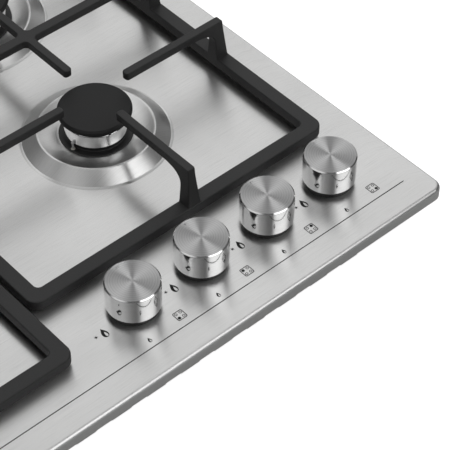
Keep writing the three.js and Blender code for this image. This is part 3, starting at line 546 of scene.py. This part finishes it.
FRAME_WIDTH = 11.4
FRAME_TOP = 11.5
FRAME_BOTTOM = 3.5
FRAME_CORNER = 9.0
FRAME_INNER_CORNER = 4.0
FINGER_TOP = 44.0
FINGER_HEIGHT = 6.6
FINGER_WIDTH = 6.4
CROSS_WIDTH = 8.0
CROSS_FILLET = 4.0
EDGE = 0.75  # radius of the casting's edges
LEG_LEAN = 3.8
LEG_FOOT_INSET = 0.3
LEG_FOOT_DEPTH = 3  # the leg's foot starts this far down in the frame
LEG_FOOT_WIDTH = 10.7
LEG_ROUND = 1.1
FLARE_WIDTH = 0.9  # the leg spreads by this much where it meets the frame
FLARE_FADE = 1.2
ARCH_POINTS = 17
ARCH_RUN = 20.0
ARCH_RISE = 12.0
ARCH_FULLNESS = 0.82  # power of the arch's sine and cosine: 1 is a quarter ellipse, less is fuller
TIP_CLEARANCE = 0.9
TIP_ROUND = 2.4
CROSS_BOTTOM = 37.6
CROSS_Y = {"left": 13.0, "right": 27.1}
FOOT_INSET = 20.0
FOOT_RADIUS = 4.0


def section(inner, outer, inner_width, outer_width):
    """Rings of a bar: rounded rectangles between a line along its inner side and one along its
    outer side, both (n, 2) of distance and height, with a width at each. A ring's corner is the
    end of its side, drawn in by the edge radius r, plus r (cos t, sin t)."""
    across = outer - inner
    length = np.linalg.norm(across, axis=1)
    unit = across / length[:, None]
    edge = np.minimum(EDGE, 0.45 * np.minimum(length, np.minimum(inner_width, outer_width)))
    t = np.radians(np.array([0, 22.5, 45, 67.5, 90]))
    columns = []
    for k, (at_outer, side) in enumerate([(1, 1), (0, 1), (0, -1), (1, -1)]):
        width = outer_width if at_outer else inner_width
        base = length - edge if at_outer else edge
        corner = side * (width / 2 - edge)
        turn = t + k * np.pi / 2
        along, aside = np.cos(turn), np.sin(turn)
        brace = 0.15
        before = np.array([-np.sin(turn[0]), np.cos(turn[0])]) * -brace
        after = np.array([-np.sin(turn[-1]), np.cos(turn[-1])]) * brace
        for c, s, (extra_c, extra_s) in (
            [(along[0], aside[0], before)]
            + [(c, s, (0, 0)) for c, s in zip(along, aside)]
            + [(along[-1], aside[-1], after)]
        ):
            columns.append((base + edge * c + extra_c, corner + edge * s + extra_s))
    depth = np.stack([c[0] for c in columns], 1)
    aside = np.stack([c[1] for c in columns], 1)
    distance = inner[:, :1] + unit[:, :1] * depth
    height = inner[:, 1:] + unit[:, 1:] * depth
    return np.stack([distance, aside, height], -1)


def leg_lines(width):
    """The inner and outer lines of a leg and their widths, from its foot in the frame to the end
    of the arch: the inner line rises upright and then runs along a quarter ellipse, and the outer
    one leans in and then turns level on a small arc."""
    underside = FINGER_TOP - FINGER_HEIGHT
    spring = underside - ARCH_RISE
    foot = FRAME_TOP - LEG_FOOT_DEPTH

    def lean(z):
        return LEG_FOOT_INSET + (LEG_LEAN - LEG_FOOT_INSET) * (z - foot) / (FINGER_TOP - foot)

    rise = np.array([foot, FRAME_TOP, FRAME_TOP + 0.8, FRAME_TOP + 2, spring - 4])
    t = np.linspace(0, np.pi / 2, ARCH_POINTS)
    arch = np.column_stack(
        [
            FRAME_WIDTH + ARCH_RUN * (1 - np.clip(np.cos(t), 0, 1) ** ARCH_FULLNESS),
            spring + ARCH_RISE * np.sin(t) ** ARCH_FULLNESS,
        ]
    )
    inner = np.concatenate([np.column_stack([np.full(len(rise), FRAME_WIDTH), rise]), arch])
    climb = np.linspace(spring, FINGER_TOP - 2.4, 6)
    shoulder = [
        (lean(FINGER_TOP - 3), FINGER_TOP - 3, 0),
        (LEG_LEAN, FINGER_TOP, LEG_ROUND),
        (12, FINGER_TOP, 0),
    ]
    bend = rounded(shoulder, 4)[1:-1]
    level_points = ARCH_POINTS - len(climb) - len(bend)
    top = np.linspace(bend[-1][0], FRAME_WIDTH + ARCH_RUN, level_points + 1)[1:]
    outer = np.concatenate(
        [
            np.column_stack([lean(rise), rise]),
            np.column_stack([lean(climb), climb]),
            bend,
            np.column_stack([top, np.full(len(top), FINGER_TOP)]),
        ]
    )

    def breadth(z):
        share = np.clip((underside - z) / (underside - FRAME_TOP), 0, 1)
        flare = FLARE_WIDTH * np.exp(-np.clip(z - FRAME_TOP, 0, None) / FLARE_FADE)
        return width + (LEG_FOOT_WIDTH - FINGER_WIDTH) * share + flare

    return inner, outer, breadth(inner[:, 1]), breadth(outer[:, 1])


def tip_lines(end, width):
    """The last stretch of a finger: it narrows and thins on quarter circles up to its end."""
    t = np.radians(np.array([0, 20, 40, 60, 75, 84]))
    along = end - TIP_ROUND + TIP_ROUND * np.sin(t)
    shrink = 1 - np.cos(t)
    inner = np.column_stack([along, FINGER_TOP - FINGER_HEIGHT + 0.9 * shrink])
    outer = np.column_stack([along, FINGER_TOP - 0.9 * shrink])
    return inner, outer, width - 2 * TIP_ROUND * shrink, width - 2 * TIP_ROUND * shrink


def bar_shape(inner, outer, inner_width, outer_width, start, direction):
    """Points and faces of a closed bar on the lines given, carried to its plan place."""
    rings = section(inner, outer, inner_width, outer_width)
    rows, columns = rings.shape[:2]
    turn = np.radians(direction)
    x = start[0] + rings[..., 0] * np.cos(turn) - rings[..., 1] * np.sin(turn)
    y = start[1] + rings[..., 0] * np.sin(turn) + rings[..., 1] * np.cos(turn)
    points = np.stack([x, y, rings[..., 2]], -1).reshape(-1, 3)
    return points, capped(rows, columns)


def chain(*stretches):
    return [np.concatenate(parts) for parts in zip(*stretches)]


def finger(start, direction, reach, width):
    lines = chain(leg_lines(width), tip_lines(reach, width))
    return bar_shape(*lines, start, direction)


def bridge(start, length, width):
    """A finger with a leg at each end: the second leg is the first one mirrored, run backwards."""
    leg = leg_lines(width)
    far = [line[::-1].copy() for line in leg]
    far[0][:, 0] = length - far[0][:, 0]
    far[1][:, 0] = length - far[1][:, 0]
    return bar_shape(*chain(leg, far), start, 0.0)


def level_bar(start, length, width):
    """A level bar along Y with a rounded tip at each end."""
    tip = tip_lines(length, width)
    near = [line[::-1].copy() for line in tip]
    near[0][:, 0] = length - near[0][:, 0]
    near[1][:, 0] = length - near[1][:, 0]
    return bar_shape(*chain(near, tip), start, 90.0)


def cross_fillets(centre):
    """The four fillets where a grate's bars cross, as one plus-shaped plate. Its outline drawn in
    by s has arms narrower by s and hollow corners of radius fillet + s."""
    half_x, half_y = FINGER_WIDTH / 2 - 0.03, CROSS_WIDTH / 2 - 0.03
    corners = [(3, CROSS_BOTTOM, 0), (0, CROSS_BOTTOM, EDGE), (0, FINGER_TOP, EDGE)]
    profile = rounded([*corners, (3, FINGER_TOP, 0)], 4)[1:-1]
    t = np.radians(np.linspace(0, 90, 9))
    rings = []
    for inset, height in profile:
        radius = CROSS_FILLET + inset
        x, y = half_x - inset, half_y - inset
        outline = []
        for k, (sx, sy) in enumerate(QUARTERS):
            middle = np.array([sx * (x + radius), sy * (y + radius)])
            arc = np.column_stack(
                [middle[0] - sx * radius * np.sin(t), middle[1] - sy * radius * np.cos(t)]
            )
            reach = np.array([[middle[0] + sx * 0.5, sy * y]])
            rise = np.array([[sx * x, middle[1] + sy * 0.5]])
            corner = np.concatenate([reach, arc, rise])
            outline.append(corner if k % 2 == 0 else corner[::-1])
        ring = np.concatenate(outline) + centre
        rings.append(np.column_stack([ring, np.full(len(ring), height)]))
    return np.concatenate(rings), capped(len(rings), len(rings[0]))


def frame_bar(low, high):
    """The grate's flat frame: a bar's profile carried round a rounded rectangle, with the corner
    radius going evenly from the outer to the inner one."""
    centre = (low + high)[:2] / 2
    half = (high - low)[:2] / 2
    corners = [
        (3.0, FRAME_BOTTOM, 0),
        (0.0, FRAME_BOTTOM, 0.6),
        (0.0, FRAME_TOP, 1.0),
        (FRAME_WIDTH, FRAME_TOP, 0.9),
        (FRAME_WIDTH, FRAME_BOTTOM, 0.6),
        (3.2, FRAME_BOTTOM, 0),
    ]
    profile = rounded(corners, 4)
    rings = []
    for inset, height in profile:
        corner = FRAME_CORNER - (FRAME_CORNER - FRAME_INNER_CORNER) * inset / FRAME_WIDTH
        ring = plan_rectangle(half - inset, corner, centre)
        rings.append(np.column_stack([ring, np.full(len(ring), height)]))
    return np.concatenate(rings), weave(len(profile), len(rings[0]), loop=True)


def fused(name, shapes):
    """One closed casting from several overlapping closed shapes."""
    pieces = [put(f"{name}_{k}", *shape) for k, shape in enumerate(shapes)]
    base, others = pieces[0], pieces[1:]
    for other in others:
        modified(base, "BOOLEAN", operation="UNION", solver="MANIFOLD", object=other)
    graph = bpy.context.evaluated_depsgraph_get()
    mesh = bpy.data.meshes.new_from_object(base.evaluated_get(graph))
    for piece in pieces:
        bpy.data.objects.remove(piece)
    work = bmesh.new()
    work.from_mesh(mesh)
    bmesh.ops.remove_doubles(work, verts=work.verts, dist=1e-6)
    bmesh.ops.dissolve_degenerate(work, edges=work.edges, dist=1e-6)
    work.to_mesh(mesh)
    work.free()
    mesh.shade_smooth()
    mesh.set_sharp_from_angle(angle=np.radians(40))
    return in_scene(name, mesh)


def grate(side, front_burner, rear_burner):
    node = f"grate_{side}"
    low, high = box_mm(node)
    front, rear = (middle_of(f"burner_cap_{b}") for b in (front_burner, rear_burner))
    front_tip, rear_tip = (cap_radius(b) + TIP_CLEARANCE for b in (front_burner, rear_burner))
    cross_y = CROSS_Y[side]
    shapes = [frame_bar(low, high)]
    for axis, tip in ((front, front_tip), (rear, rear_tip)):
        shapes.append(finger((low[0], axis[1]), 0.0, axis[0] - tip - low[0], FINGER_WIDTH))
        shapes.append(finger((high[0], axis[1]), 180.0, high[0] - axis[0] - tip, FINGER_WIDTH))
    shapes.append(finger((front[0], low[1]), 90.0, front[1] - front_tip - low[1], FINGER_WIDTH))
    shapes.append(finger((rear[0], high[1]), -90.0, high[1] - rear[1] - rear_tip, FINGER_WIDTH))
    shapes.append(bridge((low[0], cross_y), high[0] - low[0], CROSS_WIDTH))
    start = front[1] + front_tip
    shapes.append(level_bar((front[0], start), rear[1] - rear_tip - start, FINGER_WIDTH))
    shapes.append(cross_fillets(np.array([front[0], cross_y])))
    piece = fused(f"cast_grate_{side}", shapes)
    dress(piece, f"{side}_grate", "cast_iron", IRON, node)
    foot = rounded([(0, 0.3, 0), (FOOT_RADIUS, 0.3, 0.8), (FOOT_RADIUS, 3.8, 0), (0, 3.8, 0)], 4)
    feet = []
    for x in (low[0] + FRAME_WIDTH / 2, high[0] - FRAME_WIDTH / 2):
        for y in (low[1] + FOOT_INSET, high[1] - FOOT_INSET):
            feet.append(turned(foot, 32, (x, y)))
    pads = put(f"grate_feet_{side}", *joined(*feet))
    dress(pads, f"{side}_grate", "seal", RUBBER)


grate("left", "front_left", "rear_left")
grate("right", "front_right", "rear_right")

# ---- Burners ------------------------------------------------------------------------------------

BASE_TOP = 4.8
NECK_INSET = 1.6
CROWN_BOTTOM = 9.0
BAND_TOP = 20.0
CROWN_TOP = 23.7
CROWN_WALL = 5.2
PORT_INSET = 2.4
CAP_BOTTOM = 24.0
CAP_TOP = 28.0
CUP_WALL = 2.4
CUP_BOTTOM = -13
CUP_FLOOR = -10.6
HOLDER_FLANGE = 6.0
JET_BLOCK_RADIUS = 12
JET_BLOCK_BOTTOM = -31
PORT_PITCH = 5.5
PORT_DEPTH = 1.7
COLUMNS_PER_PORT = 8
SLOT_COLUMNS = 3
PROBE_BOTTOM = -15


def burner_holder(burner, centre, crown):
    """Cast holder: flange under the dish, base disc and neck round the crown, cup and jet block."""
    base = crown + BASE_OVERHANG
    cup = crown - CROWN_WALL
    flange = base + HOLE_GAP + HOLDER_FLANGE
    flange_top = DISH_HEIGHT - PAN_SHEET - 0.3
    profile = rounded(
        [
            (0, JET_BLOCK_BOTTOM, 0),
            (JET_BLOCK_RADIUS, JET_BLOCK_BOTTOM, 0.8),
            (JET_BLOCK_RADIUS, CUP_BOTTOM, 1.0),
            (cup, CUP_BOTTOM, 2.0),
            (cup, flange_top - CUP_WALL, 0.8),
            (flange, flange_top - CUP_WALL, 0.5),
            (flange, flange_top, 0.4),
            (base, flange_top, 0.3),
            (base, BASE_TOP, 0.9),
            (crown - NECK_INSET, BASE_TOP, 0.8),
            (crown - NECK_INSET, CROWN_BOTTOM - 0.3, 0.3),
            (cup - CUP_WALL, CROWN_BOTTOM - 0.3, 0.6),
            (cup - CUP_WALL, CUP_FLOOR, 3.0),
            (0, CUP_FLOOR, 0),
        ],
        4,
    )
    piece = turned_piece(f"holder_{burner}", profile, centre, 112)
    dress(piece, "hob", "burner_body", CASTING_AND_PAINTED_SHADE, f"burner_holder_{burner}")


def burner_crown(burner, centre, crown):
    """Polished band with a ring of teeth above it. The teeth are a radius that steps in by the
    port's depth over each port: a grid over the turn and the height."""
    inner = crown - CROWN_WALL
    ring = crown - PORT_INSET
    band = rounded(
        [
            (inner + 1, CROWN_BOTTOM, 0),
            (crown, CROWN_BOTTOM, 0.5),
            (crown, BAND_TOP, 1.1),
            (ring, BAND_TOP, 0.3),
            (ring, BAND_TOP + 0.5, 0),
        ],
        6,
    )
    top = np.array([[ring, BAND_TOP + 0.6], [ring, CROWN_TOP - 0.5], [ring - 0.4, CROWN_TOP]])
    inside = np.array([[inner, CROWN_TOP], [inner, CROWN_BOTTOM]])
    profile = np.concatenate([band, top, inside])
    columns = round(2 * np.pi * ring / PORT_PITCH) * COLUMNS_PER_PORT
    points, _ = turned(profile, columns, centre)
    grid = points.reshape(len(profile), columns, 3)
    slot = np.arange(columns) % COLUMNS_PER_PORT >= COLUMNS_PER_PORT - SLOT_COLUMNS
    rows = slice(len(band), len(band) + len(top))
    grid[rows, slot, :2] -= PORT_DEPTH * towards(full_turn(columns)[slot])
    faces = weave(len(profile), columns, loop=True)
    piece = put(f"crown_{burner}", grid.reshape(-1, 3), faces, smooth_below=30)
    dress(piece, f"crown_{burner}", "crown_metal", CROWN_METAL, f"burner_crown_{burner}")
    # The faces above the band's top, the ring of teeth, get the dark casting finish as painted
    # shade: it stands in for the shade that the cap casts on them.
    middles = np.empty(len(piece.data.polygons) * 3)
    piece.data.polygons.foreach_get("center", middles)
    above = middles.reshape(-1, 3)[:, 2] > (PAN_TOP + BAND_TOP - 0.01) * MM
    piece.data.materials.append(CASTING_AND_PAINTED_SHADE)
    piece.data.polygons.foreach_set("material_index", above.astype(np.int32))


def burner_cap(burner, centre, edge, crown):
    recess = crown - CROWN_WALL - 0.4
    profile = rounded(
        [
            (0, CAP_BOTTOM - 2, 0),
            (recess, CAP_BOTTOM - 2, 0.4),
            (recess, CAP_BOTTOM, 0.3),
            (edge - 0.3, CAP_BOTTOM, 0.35),
            (edge, CAP_BOTTOM + 1.0, 0.5),
            (edge, CAP_TOP - 1.5, 0.7),
            (edge - 1.5, CAP_TOP, 0.8),
            (0, CAP_TOP, 0),
        ],
        5,
    )
    piece = turned_piece(f"cap_{burner}", profile, centre, 128)
    dress(piece, f"cap_{burner}", "cap_enamel", ENAMEL, f"burner_cap_{burner}")


def igniter(burner):
    """Ceramic sleeve, and the steel pin with its small head that the spark jumps from."""
    node = f"igniter_{burner}"
    centre = middle_of(node)
    foot = [(0, PROBE_BOTTOM, 0), (2, PROBE_BOTTOM, 0.3)]
    sleeve = rounded([*foot, (2, 4.6, 0.5), (0.8, 5.3, 0), (0, 5.3, 0)], 4)
    piece = turned_piece(f"igniter_sleeve_{burner}", sleeve, centre, 32)
    dress(piece, "hob", "igniter_ceramic", CERAMIC, node)
    pin = rounded(
        [(0, 5, 0), (0.8, 5, 0), (0.8, 9.4, 0.3), (1.2, 9.8, 0.3), (1.2, 11.0, 0.5), (0, 11.6, 0)],
        4,
    )
    head = turned_piece(f"igniter_pin_{burner}", pin, centre, 32)
    dress(head, "hob", "zinc_steel", ZINC)


def flame_sensor(burner):
    node = f"flame_sensor_{burner}"
    centre = middle_of(node)
    body = rounded(
        [
            (0, PROBE_BOTTOM, 0),
            (1.6, PROBE_BOTTOM, 0.3),
            (1.6, 5.5, 0.3),
            (2, 5.6, 0.2),
            (2, 8.2, 0.5),
            (0.9, 9, 0.3),
            (0.9, 11.8, 0.8),
            (0, 12.5, 0),
        ],
        4,
    )
    piece = turned_piece(f"sensor_{burner}", body, centre, 32)
    dress(piece, "hob", "brass_parts", BRASS, node)


for burner in BURNERS:
    axis = middle_of(f"burner_cap_{burner}")
    crown_r, cap_r = crown_radius(burner), cap_radius(burner)
    burner_holder(burner, axis, crown_r)
    burner_crown(burner, axis, crown_r)
    burner_cap(burner, axis, cap_r, crown_r)
    igniter(burner)
    flame_sensor(burner)

# ---- Knobs --------------------------------------------------------------------------------------

KNOB_RADIUS = 19.2
KNOB_BOTTOM = 4.8
KNOB_TOP = 25.8
KNOB_CHAMFER = 0.9
KNOB_WALL = 1.4
KNOB_CEILING = 22.8
DIMPLE_OFFSET = 15.6
DIMPLE_RADIUS = 1.15
DIMPLE_DEPTH = 0.45


def knob(burner, centre):
    """Shell: a turned profile with a rounded foot and a chamfer. Face: rings from the chamfer to
    the middle, pressed in round the mark by depth (1 - (d / r)^2)."""
    inside = KNOB_RADIUS - KNOB_WALL
    face_radius = KNOB_RADIUS - KNOB_CHAMFER
    shell = rounded(
        [
            (0, KNOB_CEILING, 0),
            (inside, KNOB_CEILING, 1.0),
            (inside, KNOB_BOTTOM, 0.5),
            (KNOB_RADIUS - 0.1, KNOB_BOTTOM, 0.6),
            (KNOB_RADIUS, KNOB_BOTTOM + 6, 0),
            (KNOB_RADIUS, KNOB_TOP - KNOB_CHAMFER, 0.3),
            (face_radius, KNOB_TOP, 0),
        ],
        5,
    )
    body = turned_piece(f"knob_shell_{burner}", shell, centre, 144)
    dress(body, f"control_{burner}", "knob_metal", CHROME, f"knob_{burner}")

    columns = 192
    radii = np.linspace(face_radius, 0.0, 75)
    turn = np.linspace(0, 2 * np.pi, columns + 1)
    x = radii[:, None] * np.cos(turn)
    y = radii[:, None] * np.sin(turn)
    away = np.hypot(x, y - DIMPLE_OFFSET) / DIMPLE_RADIUS
    z = KNOB_TOP - DIMPLE_DEPTH * np.clip(1 - away**2, 0, None)
    points = np.stack([x + centre[0], y + centre[1], z], -1).reshape(-1, 3)
    sheet = np.stack(
        [np.broadcast_to(turn * KNOB_RADIUS, x.shape), np.broadcast_to(radii[:, None], x.shape)], -1
    )
    faces = weave(len(radii), columns + 1, rings=False)
    face = put(f"knob_face_{burner}", points, faces, sheet=sheet.reshape(-1, 2))
    dress(face, f"control_{burner}", "knob_metal", SPUN)


def collar(burner, centre):
    node = f"knob_collar_{burner}"
    low, high = box_mm(node)
    radius = radius_of(node)
    profile = rounded(
        [
            (4.2, low[2], 0),
            (radius, low[2], 0.2),
            (radius, high[2], 0.6),
            (9.0, high[2], 0.3),
            (8.0, high[2] - 1.4, 0.5),
            (4.2, high[2] - 1.4, 0.2),
        ],
        4,
    )
    points, _ = turned(profile, 96, centre)
    piece = put(f"collar_{burner}", points, weave(len(profile), 96, loop=True))
    dress(piece, "hob", "black_plastic", PLASTIC, node)


for burner in BURNERS:
    axis = middle_of(f"knob_{burner}")
    knob(burner, axis)
    collar(burner, axis)

# ---- Printed marks ------------------------------------------------------------------------------

INK_HEIGHT = 0.05


def flat_band(outer, inner):
    """A flat closed band between two outlines of as many points, a little above the pan."""
    count = len(outer)
    top, low = np.full(count, INK_HEIGHT), np.full(count, -0.02)
    rows = [(outer, low), (outer, top), (inner, top), (inner, low)]
    points = np.concatenate([np.column_stack([line, height]) for line, height in rows])
    return points, weave(4, count, loop=True)


def flat_shape(outline):
    """A flat closed shape, filled to a point in its middle."""
    middle = np.broadcast_to(outline.mean(0), outline.shape)
    return flat_band(outline, middle)


def disc(centre, radius, count=32):
    return np.array(centre) + radius * towards(full_turn(count))


def drop(length, width, count=24):
    """A flame's outline: a half ellipse below, and above it sides that run to a point as the
    cosine of the way up to the power 1.3. It stands on the origin and points to +Y."""
    belly = 0.34
    up = np.concatenate(
        [np.linspace(0, belly, count // 2, endpoint=False), np.linspace(belly, 1, count)]
    )
    low = np.sqrt(np.clip(1 - (1 - up / belly) ** 2, 0, None))
    high = np.cos(np.clip((up - belly) / (1 - belly), 0, 1) * np.pi / 2) ** 1.3
    half = width / 2 * np.where(up < belly, low, high)
    right = np.column_stack([half, up * length])
    left = np.column_stack([-half[::-1], up[::-1] * length])
    return np.concatenate([right, left])


def flame(place, length, width):
    """An open flame: thick at its sides and tip and thin at its foot."""
    outer = drop(length, width)
    inner = drop(length * 0.56, width * 0.40) + (0.10 * width, length * 0.06)
    return flat_band(outer + place, inner + place)


def spark(place, radius):
    """A star of six points: the reach repeats over tip, flank, hollow and flank."""
    reach = radius * np.tile([1.0, 0.5, 0.38, 0.5], 6)
    return flat_shape(np.array(place) + reach[:, None] * towards(full_turn(len(reach))))


ICON_HALF = 3.9
ICON_DOTS = {
    "front_left": (-1, -1),
    "rear_left": (-1, 1),
    "rear_right": (1, 1),
    "front_right": (1, -1),
}
ICON_OFFSET = (17.9, -26.0)  # marks lie this far from their knob's middle
SPARK_OFFSET, SPARK_RADIUS = (-35.7, -4.5), 1.6
HIGH_FLAME_OFFSET, HIGH_FLAME = (-29.2, -9.1), (8.7, 4.7)  # length and width
LOW_FLAME_OFFSET, LOW_FLAME = (-10.8, -31.4), (4.5, 2.6)
LINE_Y = -232.4
LINE_HALF = (275.8, 0.36)


def burner_icon(place, burner):
    """A rounded square with four rings, the one of the knob's own burner filled."""
    shapes = []
    outer = plan_rectangle((ICON_HALF, ICON_HALF), 1.2, place)
    inner = plan_rectangle((ICON_HALF - 0.55, ICON_HALF - 0.55), 0.8, place)
    shapes.append(flat_band(outer, inner))
    for name, (sx, sy) in ICON_DOTS.items():
        dot = np.array(place) + 1.85 * np.array([sx, sy])
        if name == burner:
            shapes.append(flat_shape(disc(dot, 1.2)))
        else:
            shapes.append(flat_band(disc(dot, 1.1), disc(dot, 0.68)))
    return joined(*shapes)


def printed_marks():
    shapes = []
    for burner in BURNERS:
        knob_middle = middle_of(f"knob_{burner}")
        shapes.append(spark(knob_middle + SPARK_OFFSET, SPARK_RADIUS))
        shapes.append(flame(knob_middle + HIGH_FLAME_OFFSET, *HIGH_FLAME))
        shapes.append(flame(knob_middle + LOW_FLAME_OFFSET, *LOW_FLAME))
        shapes.append(burner_icon(knob_middle + ICON_OFFSET, burner))
    shapes.append(flat_shape(plan_rectangle(LINE_HALF, 0.25, (0.0, LINE_Y), 3)))
    piece = put("printed_marks", *joined(*shapes))
    dress(piece, "hob", "black_plastic", INK)


printed_marks()

# ---- Pieces kept as they are --------------------------------------------------------------------

CARRIED_OVER = {
    "bottom_tray": ZINC,
    "rim_seal": RUBBER,
    "gas_rail": TUBE,
    "gas_inlet": BRASS,
    "ignition_module": PLASTIC,
    "terminal_block": PLASTIC,
    "cable_gland": PLASTIC,
}
for burner in BURNERS:
    CARRIED_OVER[f"spindle_{burner}"] = ZINC
    CARRIED_OVER[f"valve_body_{burner}"] = BRASS
    CARRIED_OVER[f"valve_plug_{burner}"] = BRASS
    CARRIED_OVER[f"gas_pipe_{burner}"] = TUBE
for end in ("front", "rear"):
    for side in ("left", "right"):
        CARRIED_OVER[f"worktop_clamp_{end}_{side}"] = ZINC
for node, material in CARRIED_OVER.items():
    for material_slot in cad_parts[node].material_slots:
        material_slot.material = material

# ---- Stage, light and camera --------------------------------------------------------------------

CAMERA_PLACE = (-420.4, -829.1, 906.6)
CAMERA_TILT = 43.648
CAMERA_TURN = -41.469
CAMERA_LENS = 144.8


def white_where_seen(nodes, links, shaded, background):
    """Mixes in the background for camera and transmission rays."""
    path = nodes.new("ShaderNodeLightPath")
    seen = nodes.new("ShaderNodeMath")
    seen.operation = "MAXIMUM"
    links.new(path.outputs["Is Camera Ray"], seen.inputs[0])
    links.new(path.outputs["Is Transmission Ray"], seen.inputs[1])
    mix = nodes.new("ShaderNodeMixShader")
    links.new(seen.outputs["Value"], mix.inputs["Fac"])
    links.new(shaded, mix.inputs[1])
    links.new(background, mix.inputs[2])
    return mix.outputs["Shader"]


# Bright parts of the studio: the way to the middle of each, how far from it the glow starts and
# where it is full (degrees), and its strength.
GLOWS = (
    ((0.56, 0.53, 0.64), 36.0, 6.0, 0.70),
    ((-0.12, 0.50, 0.86), 24.0, 10.0, 0.9),
    ((-0.64, 0.15, 0.75), 36.0, 14.0, 0.58),
    ((0.84, 0.50, 0.22), 22.0, 14.0, 0.7),
    ((0.25, -0.66, 0.72), 28.0, 20.0, 1.7),
)
ROOM_LOW, ROOM_HIGH = 0.08, 0.16


def studio_world():
    """A dim room with soft glows, each a smooth step of the angle from its middle."""
    world = bpy.data.worlds.new("studio")
    bpy.context.scene.world = world
    world.use_nodes = True
    nodes, links = world.node_tree.nodes, world.node_tree.links

    def math(operation, first, second):
        made = nodes.new("ShaderNodeMath")
        made.operation = operation
        for socket, value in zip(made.inputs, (first, second)):
            if isinstance(value, bpy.types.NodeSocket):
                links.new(value, socket)
            else:
                socket.default_value = value
        return made.outputs["Value"]

    direction_seen = nodes.new("ShaderNodeTexCoord").outputs["Generated"]
    split = nodes.new("ShaderNodeSeparateXYZ")
    links.new(direction_seen, split.inputs["Vector"])
    height = nodes.new("ShaderNodeMapRange")
    links.new(split.outputs["Z"], height.inputs["Value"])
    height.inputs["To Min"].default_value = ROOM_LOW
    height.inputs["To Max"].default_value = ROOM_HIGH
    level = height.outputs["Result"]
    for direction, start, full, strength in GLOWS:
        dot = nodes.new("ShaderNodeVectorMath")
        dot.operation = "DOT_PRODUCT"
        links.new(direction_seen, dot.inputs[0])
        dot.inputs[1].default_value = Vector(direction).normalized()
        step = nodes.new("ShaderNodeMapRange")
        step.interpolation_type = "SMOOTHSTEP"
        links.new(dot.outputs["Value"], step.inputs["Value"])
        step.inputs["From Min"].default_value = np.cos(np.radians(start))
        step.inputs["From Max"].default_value = np.cos(np.radians(full))
        level = math("ADD", level, math("MULTIPLY", step.outputs["Result"], strength))
    room = nodes["Background"]
    links.new(level, room.inputs["Strength"])
    room.inputs["Color"].default_value = (1.0, 1.0, 1.0, 1.0)
    white = nodes.new("ShaderNodeBackground")
    white.inputs["Strength"].default_value = 1.0
    links.new(
        white_where_seen(nodes, links, room.outputs[0], white.outputs[0]),
        nodes["World Output"].inputs["Surface"],
    )


FLOOR_LIFT = 0.9  # what the camera sees on top of the floor's own shade
FLOOR_HALF = 6.0  # metres


def floor():
    mesh = bpy.data.meshes.new("floor")
    corners = [(-1, -1), (1, -1), (1, 1), (-1, 1)]
    mesh.from_pydata([(FLOOR_HALF * x, FLOOR_HALF * y, 0) for x, y in corners], [], [range(4)])
    obj = in_scene("floor", mesh)
    pale = Finish("pale_floor", Base_Color=grey(0.5), Roughness=0.9, Specular_IOR_Level=0.0)
    nodes, links = pale.nodes, pale.links
    lift = nodes.new("ShaderNodeEmission")
    lift.inputs["Strength"].default_value = FLOOR_LIFT
    both = nodes.new("ShaderNodeAddShader")
    links.new(pale.shader.outputs[0], both.inputs[0])
    links.new(lift.outputs[0], both.inputs[1])
    links.new(
        white_where_seen(nodes, links, pale.shader.outputs[0], both.outputs[0]),
        nodes["Material Output"].inputs["Surface"],
    )
    mesh.materials.append(pale.material)


def softbox(name, place, aim, size, power):
    data = bpy.data.lights.new(name, "AREA")
    data.shape = "RECTANGLE"
    data.size, data.size_y = size
    data.energy = power
    lamp = in_scene(name, data)
    lamp.location = place
    lamp.rotation_euler = (Vector(aim) - Vector(place)).to_track_quat("-Z", "Y").to_euler()


def camera():
    data = bpy.data.cameras.new("camera")
    data.lens = CAMERA_LENS
    data.sensor_width = 36.0
    data.clip_start, data.clip_end = 0.05, 50.0
    obj = in_scene("camera", data)
    obj.location = (np.array(CAMERA_PLACE) + (0, 0, PAN_TOP)) * MM
    obj.rotation_euler = (np.radians(CAMERA_TILT), 0.0, np.radians(CAMERA_TURN))
    bpy.context.scene.camera = obj


studio_world()
floor()
softbox("overhead", (0.9, 1.1, 1.9), (0.0, 0.0, 0.0), (2.2, 1.6), 3.0)
camera()

bpy.context.scene.view_settings.view_transform = "Standard"
